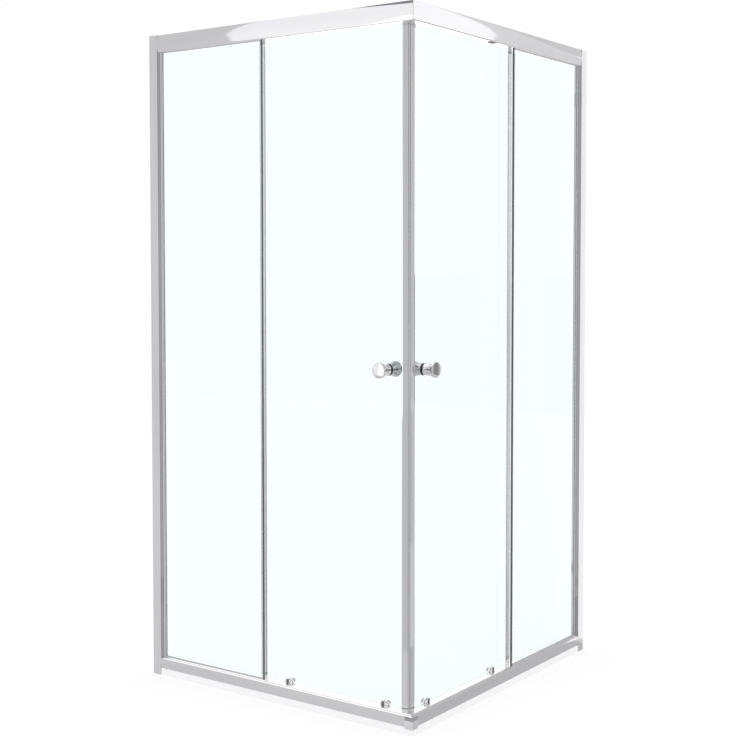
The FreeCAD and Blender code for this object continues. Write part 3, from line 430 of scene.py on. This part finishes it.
# The corner cap: a satin-chromed moulding clipped over the mitre of the bottom rails, which hides the saw
# cut where feet pass. Its edges are rounded all round, so it lies on the two faces like a thin pillow.
cap_low, cap_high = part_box("corner_cap")
cap_proud = cap_high.x - corner
cap_arm = corner - cap_low.x
cap_short = 0.003
cap_top = cap_high.z - cap_short
cap_bend = 0.0015
cap_rounds = 0.005
cap_columns = 64
cap_rows = 24


def cap_shell(name):
    """Two arms of a plate bent round the corner, lying on the rails' faces with a rounded rim.

    A place is s, the way along the plate from the corner, and z. Its height over the rails is that of a
    quarter circle of radius cap_proud over the distance to the plate's outline, a rectangle with rounded
    corners.
    """
    reach = cap_arm * np.sin(np.linspace(-np.pi / 2, np.pi / 2, cap_columns))
    past = np.clip(np.abs(reach) - (cap_arm - cap_rounds), 0, cap_rounds)
    short = cap_rounds - np.sqrt(cap_rounds**2 - past**2)
    share = (1 - np.cos(np.linspace(0, np.pi, cap_rows))) / 2
    low, high = cap_low.z + short, cap_top - short
    z = low[:, None] + (high - low)[:, None] * share
    s = np.broadcast_to(reach[:, None], z.shape)
    middle, half = (cap_low.z + cap_top) / 2, (cap_top - cap_low.z) / 2
    over_s = np.abs(s) - (cap_arm - cap_rounds)
    over_z = np.abs(z - middle) - (half - cap_rounds)
    past_corner = np.hypot(np.maximum(over_s, 0), np.maximum(over_z, 0))
    outside = past_corner + np.minimum(np.maximum(over_s, over_z), 0)
    inwards = np.clip((cap_rounds - outside) / cap_proud, 0, 1)
    lift = np.sqrt(np.maximum(1 - (1 - inwards) ** 2, 0))
    turn = np.clip((s / cap_bend + 1) / 2, 0, 1) * np.pi / 2
    bend = cap_bend + cap_proud
    beyond_left = np.maximum(-s - cap_bend, 0)
    beyond_right = np.maximum(s - cap_bend, 0)
    outer_x = corner - cap_bend + bend * np.sin(turn) - beyond_left
    outer_y = cap_bend - corner - bend * np.cos(turn) + beyond_right
    inner_x = corner - np.maximum(-s, 0)
    inner_y = np.maximum(s, 0) - corner
    front_x = inner_x + lift * (outer_x - inner_x)
    front_y = inner_y + lift * (outer_y - inner_y)
    front = np.stack([front_x, front_y, z], axis=-1)
    back = np.stack([inner_x, inner_y, z], axis=-1)
    return skin(name, [np.concatenate([front, back[:, ::-1]], axis=1)], ends="open")


def plated(name, dull, bright, roughness):
    """Chrome plating with a breath of haze and hairline wiping marks, from a mirror to a satin finish."""
    clouds = (60, 60, 60)
    wipes = (400, 400, 2500)
    wipe_detail = 4.0
    smoother, rougher = 0.7, 1.4
    material, tree, shader = finish(name)
    shader.inputs["Metallic"].default_value = 1.0
    haze = grain(tree, clouds)
    colour_between(tree, haze, dull, bright, shader.inputs["Base Color"])
    marks = grain(tree, wipes, wipe_detail)
    number_between(tree, marks, smoother * roughness, rougher * roughness, shader.inputs["Roughness"])
    return material


satin_chrome = plated("satin_chrome", (0.60, 0.60, 0.62), (0.65, 0.65, 0.67), roughness=0.20)
fit(cap_shell("corner_cap_shell"), satin_chrome, "chrome", "frame", "corner_cap")


# The cap's painted shade: a dull grey strip bent round the corner, from the cap's upper edge to the chamfer
# of the rails, let into their faces. Its grey paints the shade on the rails' shoulders round the corner
# above the cap.
shade_band_share = 0.95
shade_band_arm = shade_band_share * cap_arm
shade_band_proud = 0.0004
shade_band_deep = 0.0045
shade_band_tall = bottom_rail_top - bottom_chamfer - cap_top
shade_band_round = 0.0003


def upright(name, side, outline, low, high):
    """Outline of (u, v) points carried straight up from low to high."""
    u, v = outline.T
    return skin(name, [np.stack([on_leg(side, u, v, low), on_leg(side, u, v, high)])])


shade_band_outline = rounded(
    [
        (-shade_band_proud, -shade_band_proud, shade_band_round),
        (shade_band_arm, -shade_band_proud, shade_band_round),
        (shade_band_arm, shade_band_deep, shade_band_round),
        (shade_band_deep, shade_band_deep, 0),
        (shade_band_deep, shade_band_arm, shade_band_round),
        (-shade_band_proud, shade_band_arm, shade_band_round),
    ]
)
# Grey that paints the shade on the rails' shoulders above the cap.
shade_band_grey = moulded(
    "shade_band_grey",
    pale=(0.32, 0.32, 0.335),
    deep=(0.27, 0.27, 0.285),
    roughness=0.55,
    grain_repeats=(1500,) * 3,
    grain_depth=0.00004,
)
shade_band = upright("cap_shade_band", "left", shade_band_outline, cap_top, cap_top + shade_band_tall)
fit(shade_band, shade_band_grey, "grey_plastic", "frame")


# The wall channels: aluminium U sections screwed to the walls through four holes, open towards the rails.
# The stiles slide in them, which takes up walls that aren't quite plumb.
for side in SIDES:
    dress(f"wall_channel_{side}", aluminium_along["upright"])


# The stiles: closed aluminium tubes that stand in the wall channels, with two fins that hold the fixed
# pane. Short steel screws through the channel's inner flange fix them once the frame is level.
for side in SIDES:
    dress(f"stile_{side}", aluminium_along["upright"])
dress("frame_screws", stainless_steel)


# The top rails: extrusions like the bottom rails, turned over and taller, with a gently bowed outer face
# and an underside painted paler, a painted highlight. The doors hang in them, and small rubber blocks in
# the track stop the wheels.
top_low, top_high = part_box("top_rail_left")
top_rail_low = top_low.z
top_rail_tall = top_high.z - top_low.z
top_rail_bow = 0.002
top_shoulder = 0.002
# A paler, glossier copy of the aluminium for the undersides: a painted highlight.
painted_underside_along = {
    side: drawn_aluminium(f"bright_{side}", AXES[side], *painted_highlight_tones, roughness=0.04)
    for side in SIDES
}
top_section = rail_section(top_rail_tall, top_rail_bow, chamfer=0, edge_round=top_shoulder)
top_section = top_section + (0, top_rail_low)
dark_rubber = moulded(
    "dark_rubber",
    pale=(0.040, 0.041, 0.043),
    deep=(0.028, 0.029, 0.031),
    roughness=0.55,
    grain_repeats=(3000,) * 3,
    grain_depth=0.00004,
)
for side in SIDES:
    rail = mitred(f"top_track_{side}", side, top_section, rail_joint)
    fit(rail, aluminium_along[side], "polished_aluminium", "frame", f"top_rail_{side}")
    # Their undersides get the paler copy: a painted highlight.
    paint_highlight_faces(rail, painted_underside_along[side], way=-1)
dress("door_stops", dark_rubber)


# The fixed panes: clear toughened glass, 5 mm thick, set in the rails' grooves and the stiles with a
# rubber glazing gasket. Rolling leaves it with a wave that only shows in reflections.
def toughened_glass(name, across):
    """Clear glass with a faint rolling wave: slow bands across the pane, level from side to side.

    Its index is lower than that of glass, which keeps its reflections faint.
    """
    tint = (0.945, 1.0, 1.0, 1.0)
    faint_index = 1.12
    bands = [0.6, 0.6, 4.0]
    bands[across] = 0.0
    wave_depth = 0.0004
    wave_strength = 0.2
    haze_repeats = (90, 90, 90)
    most_haze = 0.004
    material, tree, shader = finish(name)
    shader.inputs["Base Color"].default_value = tint
    shader.inputs["Transmission Weight"].default_value = 1.0
    shader.inputs["IOR"].default_value = faint_index
    wave = grain(tree, bands, detail=0.0)
    number_between(tree, grain(tree, haze_repeats), 0.0, most_haze, shader.inputs["Roughness"])
    relief(tree, wave, wave_depth, wave_strength, shader)
    return material


ACROSS = {"left": 1, "right": 0}
glass_across = {side: toughened_glass(f"glass_{side}_leg", ACROSS[side]) for side in SIDES}


def glaze(node, side):
    """Gives a pane its glass, lets light through to the floor and keeps it out of metal's reflections."""
    dress(node, glass_across[side])
    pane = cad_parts[node]
    pane.visible_shadow = False
    pane.visible_diffuse = False
    pane.visible_glossy = False


pale_rubber = moulded(
    "pale_rubber",
    pale=(0.62, 0.63, 0.63),
    deep=(0.55, 0.56, 0.56),
    roughness=0.50,
    grain_repeats=(3000,) * 3,
    grain_depth=0.00004,
)
for side in SIDES:
    glaze(f"fixed_glass_{side}", side)
    dress(f"glazing_gasket_{side}", pale_rubber)
    # The groove fillers on the bottom rails' tops get the same painted highlight.
    dress(f"groove_fillers_{side}", painted_highlight_along[side])


# The fixed panes' free edges: bare glass, ground and polished. Light is caught inside the pane there, so the
# edge shows as a dark line a few millimetres wide, painted on a dark strip over the edge: painted shade.
pane_low, pane_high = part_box("fixed_glass_left")
pane_edge = corner - pane_high.x
pane_out = pane_low.y + corner
pane_in = pane_high.y + corner
edge_line = 0.0017
edge_proud = 0.0001
edge_round = 0.0006
edge_outline = rounded(
    [
        (pane_edge - edge_proud, pane_out - edge_proud, edge_round),
        (pane_edge + edge_line, pane_out - edge_proud, 0),
        (pane_edge + edge_line, pane_in + edge_proud, 0),
        (pane_edge - edge_proud, pane_in + edge_proud, edge_round),
    ]
)
# A dark strip over the pane's edge: painted shade.
dark_edge = moulded(
    "painted_glass_edge_shade",
    pale=(0.075, 0.090, 0.088),
    deep=(0.055, 0.068, 0.066),
    roughness=0.12,
    grain_repeats=(900,) * 3,
    grain_depth=0.00002,
)
for side in SIDES:
    edge = upright(f"pane_edge_{side}", side, edge_outline, bottom_rail_top, top_rail_low)
    fit(edge, dark_edge, "clear_glass", "frame")


# The doors: panes of the same toughened glass, drilled for the hangers, the lower brackets and the knobs.
# They hang on the inner side of the fixed panes and slide behind them.
for side in SIDES:
    glaze(f"door_glass_{side}", side)


# The doors' meeting edges: an aluminium profile over the glass, cut on the mitre line, with a rounded
# nose and a bead along its free edge. A magnet strip in its face holds the two doors together.
lead_low, lead_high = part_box("lead_profile_left")
lead_tip = corner - lead_high.x
lead_over = corner - lead_low.x
lead_out = lead_low.y + corner
lead_in = lead_high.y + corner
lead_wall = 0.0018
lead_blunt = 0.002
lead_gap = 0.0004
door_low, door_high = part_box("door_glass_left")
lead_glass = corner - door_high.x
magnet_wide = 0.007
magnet_thick = 0.0025
# The strip lies in the mitre face, so its sizes count along u and v by one over the root of two.
magnet_half = magnet_wide / (2 * 2**0.5)
magnet_deep = magnet_thick / 2**0.5
nose_drop = 0.0016
nose_round = 0.0012
bead_wide = 0.0042
bead_round = 0.0009
bead_step = 0.0007
fine_arris = 0.0003
face_mid = (lead_out + lead_blunt + lead_in) / 2
magnet_near = (face_mid - magnet_half + lead_gap, face_mid - magnet_half)
magnet_far = (face_mid + magnet_half + lead_gap, face_mid + magnet_half)
lead_outline = rounded(
    [
        (lead_tip, lead_out + nose_drop, 0),
        (lead_tip, lead_out + lead_blunt, 0),
        (*magnet_near, 0),
        (magnet_near[0] + magnet_deep, magnet_near[1] - magnet_deep, 0),
        (magnet_far[0] + magnet_deep, magnet_far[1] - magnet_deep, 0),
        (*magnet_far, 0),
        (lead_in + lead_gap, lead_in, fine_arris),
        (lead_over, lead_in, inside_arris),
        (lead_over, lead_in - lead_wall, inside_arris),
        (lead_glass, lead_in - lead_wall, inside_arris),
        (lead_glass, lead_out + lead_wall, inside_arris),
        (lead_over, lead_out + lead_wall, fine_arris),
        (lead_over, lead_out, bead_round),
        (lead_over - bead_wide, lead_out, bead_round),
        (lead_over - bead_wide, lead_out + bead_step, fine_arris),
        (lead_tip + 2 * nose_round, lead_out + nose_drop, nose_round),
    ]
)
for side in SIDES:
    profile = upright(f"meeting_profile_{side}", side, lead_outline, lead_low.z, lead_high.z)
    fit(profile, aluminium_along["upright"], "polished_aluminium", f"door_{side}", f"lead_profile_{side}")
    dress(f"magnet_strip_{side}", dark_rubber)


# The profiles' plugs: pale grey mouldings in both ends of the meeting profiles. They close the gaps to
# the rails and carry drips back onto the lower one.
plug_out = seal_out + seal_wide + seal_gap
plug_play = 0.0003
plug_low = seal_top + plug_play
plug_high = top_rail_low - plug_play
plug_round = 0.0006
plug_outline = rounded(
    [
        (plug_out + lead_gap, plug_out, 0),
        (lead_out + lead_blunt + lead_gap, lead_out + lead_blunt, 0),
        (lead_over, lead_out + lead_blunt, plug_round),
        (lead_over, plug_out, plug_round),
    ]
)
# Grey mouldings; part of their pale tone is painted light that lifts the shade where they sit under the
# profiles.
plug_grey = moulded(
    "plug_grey",
    pale=(0.74, 0.74, 0.75),
    deep=(0.68, 0.68, 0.69),
    roughness=0.45,
    grain_repeats=(1500,) * 3,
    grain_depth=0.00004,
)
for side in SIDES:
    for name, low, high in (("foot_plug", plug_low, lead_low.z), ("head_plug", lead_high.z, plug_high)):
        plug = upright(f"{name}_{side}", side, plug_outline, low, high)
        fit(plug, plug_grey, "grey_plastic", f"door_{side}")


# The doors' tail edges: an aluminium U pressed over the glass, with a clear plastic fin along its outer
# wall that wipes the inner face of the fixed pane. Pale plugs close the gaps to the rails, the upper one
# reaching behind the rail's lip.
tail_low, tail_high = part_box("tail_profile_left")
tail_near = corner - tail_high.x
tail_far = corner - tail_low.x
tail_out = tail_low.y + corner
tail_in = tail_high.y + corner
tail_wall = 0.0016
tail_bite = 0.009
tail_plug_bite = 0.004
tail_back = tail_far - tail_bite
clear_fin = moulded(
    "clear_fin_plastic",
    pale=(0.93, 0.935, 0.94),
    deep=(0.88, 0.885, 0.89),
    roughness=0.22,
    grain_repeats=(500,) * 3,
    grain_depth=0.00003,
    transmission=0.9,
)
tail_outline = rounded(
    [
        (tail_near, tail_out, rail_arris),
        (tail_far, tail_out, rail_arris),
        (tail_far, tail_in, rail_arris),
        (tail_back, tail_in, rail_arris),
        (tail_back, tail_in - tail_wall, inside_arris),
        (tail_far - tail_wall, tail_in - tail_wall, inside_arris),
        (tail_far - tail_wall, tail_out + tail_wall, inside_arris),
        (tail_near, tail_out + tail_wall, inside_arris),
    ]
)
tail_plug_ends = (
    ("tail_foot_plug", plug_low, tail_low.z),
    ("tail_head_plug", tail_high.z, top_rail_low + tail_plug_bite),
)
tail_plug_outline = rounded(
    [
        (tail_near, tail_out, rail_arris),
        (tail_far, tail_out, rail_arris),
        (tail_far, tail_out + tail_wall, inside_arris),
        (tail_near, tail_out + tail_wall, inside_arris),
    ]
)
for side in SIDES:
    for name, low, high in tail_plug_ends:
        plug = upright(f"{name}_{side}", side, tail_plug_outline, low, high)
        # The same pale grey paints light into the shade under the tail profiles' ends.
        fit(plug, plug_grey, "grey_plastic", f"door_{side}")
    profile = upright(f"tail_channel_{side}", side, tail_outline, tail_low.z, tail_high.z)
    fit(profile, aluminium_along["upright"], "polished_aluminium", f"door_{side}", f"tail_profile_{side}")
    dress(f"splash_fin_{side}", clear_fin)


# The knobs: a turned and chromed pair on each door, waisted at the glass and flared to a bevelled rim. A
# stud on the inner knob passes through the glass into the outer one, and a soft flanged bush lies under
# each.
knob_low, knob_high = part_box("outer_knob_left")
knob_u = corner - (knob_low.x + knob_high.x) / 2
knob_z = (knob_low.z + knob_high.z) / 2
knob_end = knob_low.y + corner
knob_radius = (knob_high.z - knob_low.z) / 2
glass_out = door_low.y + corner
glass_in = door_high.y + corner
knob_waist = 0.0155
knob_sweep = 0.060
knob_rim = 0.006
knob_bevel = 0.0015
knob_dome = 0.0004
bush_thick = 0.0012
flank_steps = 14
rim_steps = 7
dome_steps = 9
round_steps = 96


def turned(profile, side, u, v, z):
    """Profile of (distance, radius) points turned about an axis that runs inwards from (u, v, z)."""
    distance, radius = profile.T
    angle = np.linspace(0, 2 * np.pi, round_steps, endpoint=False)[:, None]
    return on_leg(side, u + radius * np.cos(angle), v + distance, z + radius * np.sin(angle))


def knob_profile(reach):
    """Waist to rim along a hollow arc, a bevelled rim and a slightly domed end, from the axis to the axis.

    The flank is the arc of radius knob_sweep through the waist and the start of the rim, hollow side out.
    """
    start = np.array([bush_thick, knob_waist])
    end = np.array([reach - knob_rim, knob_radius])
    chord = end - start
    half = np.linalg.norm(chord) / 2
    across = np.array([-chord[1], chord[0]]) / (2 * half)
    centre = (start + end) / 2 + across * np.sqrt(knob_sweep**2 - half**2)
    angles = np.linspace(*(np.arctan2(*(place - centre)[::-1]) for place in (start, end)), flank_steps)
    flank = centre + knob_sweep * np.stack([np.cos(angles), np.sin(angles)], axis=-1)
    rim_round = np.linspace(0, np.pi / 2, rim_steps)
    rim_centre = np.array([reach - knob_dome - knob_bevel, knob_radius - knob_bevel])
    rim = rim_centre + knob_bevel * np.stack([np.sin(rim_round), np.cos(rim_round)], axis=-1)
    share = np.linspace(1, 0, dome_steps)[1:]
    flat = knob_radius - knob_bevel
    dome = np.stack([reach - knob_dome * share**2, flat * share], axis=-1)
    return np.concatenate([[(bush_thick, 0.0)], flank, rim, dome])


mirror_chrome = plated("mirror_chrome", (0.50, 0.50, 0.51), (0.56, 0.56, 0.57), roughness=0.045)
# The inner knobs get a darker copy of the same chrome: painted shade.
painted_shade_chrome = plated("painted_shade_chrome", (0.34, 0.34, 0.35), (0.42, 0.42, 0.43), roughness=0.08)
knob_reach = glass_out - knob_end
for side in SIDES:
    knobs = ("outer_knob", glass_out, -1, mirror_chrome), ("inner_knob", glass_in, 1, painted_shade_chrome)
    for name, face, way, chrome in knobs:
        grid = turned(knob_profile(knob_reach) * (way, 1), side, knob_u, face, knob_z)
        knob = skin(f"{name}_turning_{side}", [grid], ends="joined", ring_closed=False)
        fit(knob, chrome, "chrome", f"door_{side}", f"{name}_{side}")
    dress(f"knob_bushes_{side}", dark_rubber)


# The upper rollers: steel hangers turned with their axles and stems, clamped through the glass by chromed
# cap nuts. Nylon wheels with a groove turn on the axles and run on the lip of the top rail.
white_nylon = moulded(
    "white_nylon",
    pale=(0.80, 0.80, 0.78),
    deep=(0.74, 0.74, 0.73),
    roughness=0.38,
    grain_repeats=(1200,) * 3,
    grain_depth=0.00004,
)
ENDS = ("lead", "tail")
for side in SIDES:
    dress(f"hangers_{side}", stainless_steel)
    dress(f"hanger_nuts_{side}", mirror_chrome)
    for end in ENDS:
        dress(f"top_wheel_{end}_{side}", white_nylon)


# The notch plug: a dark moulding that closes the notch in the right top rail's underside, through which
# the upper wheels are put into the track.
notch_u = 0.379
notch_half = 0.012
notch_v = (0.003, 0.018)
notch_round = 0.002
notch_drop = 0.0015
notch_outline = rounded(
    [
        (notch_u - notch_half, notch_v[0], notch_round),
        (notch_u + notch_half, notch_v[0], notch_round),
        (notch_u + notch_half, notch_v[1], notch_round),
        (notch_u - notch_half, notch_v[1], notch_round),
    ]
)
notch_plug = upright("notch_plug", "right", notch_outline, top_rail_low - notch_drop, top_rail_low)
fit(notch_plug, grey_plastic, "grey_plastic", "frame")


# The lower rollers: a pale humped bracket on the glass holds a sprung carrier, and the carrier's axle
# holds a nylon wheel against the lip of the bottom rail. Pressing the carrier's post frees the wheel, so
# the door can be cleaned. A dark band along the hump paints the shade along its outline, and a dark plate
# lies over the slot.
bracket_low, bracket_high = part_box("brackets_left")
hump_round = 0.011
hump_wide = 0.015
half_slot = 0.0043
hump_shade_thick = 0.0011
hump_shade_proud = 0.0002
hump_shade_deep = 0.0012
hump_shade_steps = 20
roller_u = [corner - (low.x + high.x) / 2 for low, high in (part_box(f"carrier_{end}_left") for end in ENDS)]


def hump_shade(name, side, place):
    """Band of painted shade along the hump: the part of a ring, as thick as the band, that lies on the
    hump's outer side.

    The ring's centre is the one of the arc of radius hump_round through the hump's foot and its top.
    """
    foot = np.array([place - half_slot - hump_wide, bracket_low.z])
    top = np.array([place - half_slot, bracket_high.z])
    half = np.linalg.norm(top - foot) / 2
    across = np.array([top[1] - foot[1], foot[0] - top[0]]) / (2 * half)
    centre = (foot + top) / 2 + across * np.sqrt(hump_round**2 - half**2)
    start, end = (np.arctan2(*(point - centre)[::-1]) for point in (foot, top))
    angle = np.linspace(start, end, hump_shade_steps)[:, None]
    outer = bracket_low.y + corner - hump_shade_proud
    inner = outer + hump_shade_deep
    radius = hump_round + hump_shade_proud - np.array([0, 0, 1, 1]) * hump_shade_thick
    v = np.array([outer, inner, inner, outer])
    u = centre[0] + radius * np.cos(angle)
    z = centre[1] + radius * np.sin(angle)
    return skin(name, [on_leg(side, u, v, z)])


def face_plate(name, side, place):
    """Thin dark plate on the bracket's outer side, as wide as the slot, from its foot to its top."""
    inner = bracket_low.y + corner
    outer = inner - hump_shade_proud
    corners = [(-half_slot, outer), (half_slot, outer), (half_slot, inner), (-half_slot, inner)]
    return upright(name, side, np.array(corners) + (place, 0), bracket_low.z, bracket_high.z)


# Dark grey that paints the shade along the hump's outline.
hump_shade_grey = moulded(
    "hump_shade_grey",
    pale=(0.16, 0.16, 0.17),
    deep=(0.12, 0.12, 0.13),
    roughness=0.50,
    grain_repeats=(3000,) * 3,
    grain_depth=0.00004,
)
spring_steel = turned_steel("spring_steel", (0.12, 0.12, 0.125))
bracket_plastic = moulded(
    "bracket_plastic",
    pale=(0.92, 0.925, 0.93),
    deep=(0.88, 0.885, 0.89),
    roughness=0.25,
    grain_repeats=(500,) * 3,
    grain_depth=0.00003,
)
for side in SIDES:
    dress(f"brackets_{side}", bracket_plastic)
    dress(f"bracket_screws_{side}", satin_chrome)
    dress(f"release_springs_{side}", spring_steel)
    for end, place in zip(ENDS, roller_u):
        dress(f"carrier_{end}_{side}", bracket_plastic)
        dress(f"bottom_wheel_{end}_{side}", white_nylon)
        # A band of painted shade along each hump.
        band = hump_shade(f"bracket_hump_shade_{end}_{side}", side, place)
        fit(band, hump_shade_grey, "clear_grey_plastic", f"door_{side}")
        cover = face_plate(f"bracket_plate_{end}_{side}", side, place)
        fit(cover, grey_plastic, "grey_plastic", f"door_{side}")


# The studio: a pale floor and a white surround, lit softly from all round. The floor glows as much as it
# lacks to be white, so it keeps a soft shadow of the frame.
floor_half = 6.0
floor_drop = 0.0005
floor_tone = 0.25
floor_glow = 0.76
soft_glow = 0.75


def seen_directly(tree):
    """1 on rays from the camera, from polished surfaces or through glass, 0 on soft light."""
    path = tree.nodes.new("ShaderNodeLightPath")
    first = tree.nodes.new("ShaderNodeMath")
    first.operation = "MAXIMUM"
    second = tree.nodes.new("ShaderNodeMath")
    second.operation = "MAXIMUM"
    tree.links.new(path.outputs["Is Camera Ray"], first.inputs[0])
    tree.links.new(path.outputs["Is Glossy Ray"], first.inputs[1])
    tree.links.new(first.outputs[0], second.inputs[0])
    tree.links.new(path.outputs["Is Transmission Ray"], second.inputs[1])
    return second.outputs[0]


def plate(name, corners):
    """Flat stage piece between its corners."""
    mesh = bpy.data.meshes.new(name)
    mesh.from_pydata(corners, [], [range(len(corners))])
    piece = bpy.data.objects.new(name, mesh)
    bpy.context.scene.collection.objects.link(piece)
    return piece


floor = plate(
    "floor",
    [
        (-floor_half, -floor_half, -floor_drop),
        (floor_half, -floor_half, -floor_drop),
        (floor_half, floor_half, -floor_drop),
        (-floor_half, floor_half, -floor_drop),
    ],
)
floor_paint, tree, shader = finish("floor_paint")
shader.inputs["Base Color"].default_value = (floor_tone, floor_tone, floor_tone, 1.0)
shader.inputs["Roughness"].default_value = 1.0
shader.inputs["Specular IOR Level"].default_value = 0.0
shader.inputs["Emission Color"].default_value = (1.0, 1.0, 1.0, 1.0)
glow = tree.nodes.new("ShaderNodeMapRange")
glow.inputs["To Min"].default_value = soft_glow
glow.inputs["To Max"].default_value = floor_glow
tree.links.new(seen_directly(tree), glow.inputs["Value"])
tree.links.new(glow.outputs["Result"], shader.inputs["Emission Strength"])
floor.data.materials.append(floor_paint)

world = bpy.data.worlds.new("surround")
bpy.context.scene.world = world
world.use_nodes = True
background = world.node_tree.nodes["Background"]
background.inputs["Color"].default_value = (1.0, 1.0, 1.0, 1.0)
background.inputs["Strength"].default_value = 1.0


# The cards: bright and grey screens, far off or flat on the floor, which only show in polished surfaces.
# They give the rails their streaks with rounded ends and the profiles their tones.
card_distance = 30.0
card_height = 1.5


def card(name, corners, tone):
    """Flat screen of one tone that is seen in polished surfaces only."""
    screen = plate(name, corners)
    screen.visible_camera = False
    screen.visible_transmission = False
    screen.visible_diffuse = False
    screen.visible_shadow = False
    material, _, shader = finish(name)
    shader.inputs["Base Color"].default_value = (0.0, 0.0, 0.0, 1.0)
    shader.inputs["Specular IOR Level"].default_value = 0.0
    shader.inputs["Emission Color"].default_value = (1.0, 1.0, 1.0, 1.0)
    shader.inputs["Emission Strength"].default_value = tone
    screen.data.materials.append(material)


def far_card(name, directions, tone, distance=card_distance):
    """Card between directions from the front corner at card_height, with nearer cards hiding farther ones.

    A direction is degrees from +Y towards +X and degrees of elevation. The card's corners lie on the plane
    at the given distance across the mean direction.
    """
    azimuth, elevation = np.radians(directions).T
    level = np.cos(elevation)
    ahead = np.stack([np.sin(azimuth) * level, np.cos(azimuth) * level, np.sin(elevation)]).T
    middle = ahead.mean(axis=0) / np.linalg.norm(ahead.mean(axis=0))
    places = ahead * distance / (ahead @ middle)[:, None]
    card(name, (np.array([corner, -corner, card_height]) + places).tolist(), tone)


def floor_card(name, corners, tone):
    """Card that lies on the floor between places (x, y)."""
    card(name, [(x, y, 0.0) for x, y in corners], tone)


streak_left = [(222.8, -2.1), (223.2, 5.8), (224.6, 14.9), (225.9, 21.1)]
streak_right = [(29.0, 19.3), (29.4, 16.9), (30.7, 12.3), (32.1, 5.6), (32.5, 1.9), (32.8, 0.5)]
strip_left = [(216.6, -3.0), (215.6, 0.6), (214.8, 4.0)]
dark_edge_left = [(217.6, 22.5), (219.8, 24.2), (221.8, 25.7)]
far_card(
    "left_softbox",
    [(208, -12), (219.5, -12), *streak_left, (228, 32), (229, 50), (208, 50)],
    tone=1.53,
)
far_card("left_strip", [(204, -12), (218, -12), *strip_left, (204, 4)], tone=1.90, distance=28.0)
far_card("overhead_flag", [(204, 21.5), *dark_edge_left, (223, 60), (204, 60)], tone=0.40, distance=27.0)
far_card("left_flag", [(190, -12), (212, -12), (212, 14), (190, 14)], tone=0.88, distance=26.0)
far_card("left_overhead", [(232, 36), (250, 30), (300, 30), (312, 36), (300, 75), (240, 75)], tone=1.85)
far_card("right_overhead", [(342, 22), (383, 26), (383, 60), (342, 60)], tone=0.75)
far_card(
    "right_softbox",
    [(37.5, -1), (37.5, 50), (28.6, 50), (28.6, 24), *streak_right, (33.2, -1)],
    tone=1.64,
)
far_card("right_screen", [(27.15, -1), (34, -1), (34, 40), (25, 40), (27.15, 14)], tone=1.14, distance=31.0)
far_card("right_low_flag", [(31.6, -14), (38, -14), (38, -1), (31.6, -1)], tone=0.42, distance=29.0)
far_card("seam_flag", [(29.4, -14), (31.5, -14), (31.5, -1), (29.4, -1)], tone=0.80, distance=29.0)
far_card("right_flag", [(38, -12), (58, -12), (58, 14), (38, 14)], tone=0.88)
far_card("wall_screen", [(16, -12), (27.15, -12), (27.15, 9.8), (16, 9.8)], tone=1.45)
far_card("back_screen", [(305, 10), (341, 10), (341, 29), (305, 29)], tone=1.25)
far_card("low_back_screen", [(300, -16), (348, -16), (348, -3), (300, -3)], tone=1.80)
right_strip = [(0.4515, -0.455), (0.62, -0.455), (1.4, 1.2), (0.95, 1.2), (0.62, 0.56), (0.4515, 0.50)]
floor_card("right_sheet", right_strip, tone=0.78)
floor_card("right_far_sheet", [(0.75, -0.42), (1.2, -0.42), (7.5, 5.0), (4.5, 5.0)], tone=0.88)
wall_path_out = [(0.57, 0.55), (0.93, 1.2), (1.4, 2.0), (3.75, 6.0)]
wall_path_back = [(2.6, 6.0), (1.15, 2.0), (0.77, 1.2)]
floor_card("wall_sheet", [(0.46, 0.55), *wall_path_out, *wall_path_back], tone=1.45)
floor_card("left_sheet", [(0.0, -1.0), (0.5, -1.0), (-0.8, -6.0), (-2.9, -6.0)], tone=0.88)


# The camera: at chest height in front of the corner, a little to the right of it, with a lens shifted
# just so far that the uprights hardly lean.
camera = bpy.data.cameras.new("camera")
camera.lens = 63.873
camera.sensor_width = 36.0
camera.shift_x = -0.0827
camera.shift_y = -0.06
viewpoint = bpy.data.objects.new("camera", camera)
viewpoint.location = (2.2682, -3.0473, 1.1534)
viewpoint.rotation_euler = np.radians((87.572, -0.094, 34.296))
bpy.context.scene.collection.objects.link(viewpoint)
bpy.context.scene.camera = viewpoint
bpy.context.scene.view_settings.view_transform = "Standard"
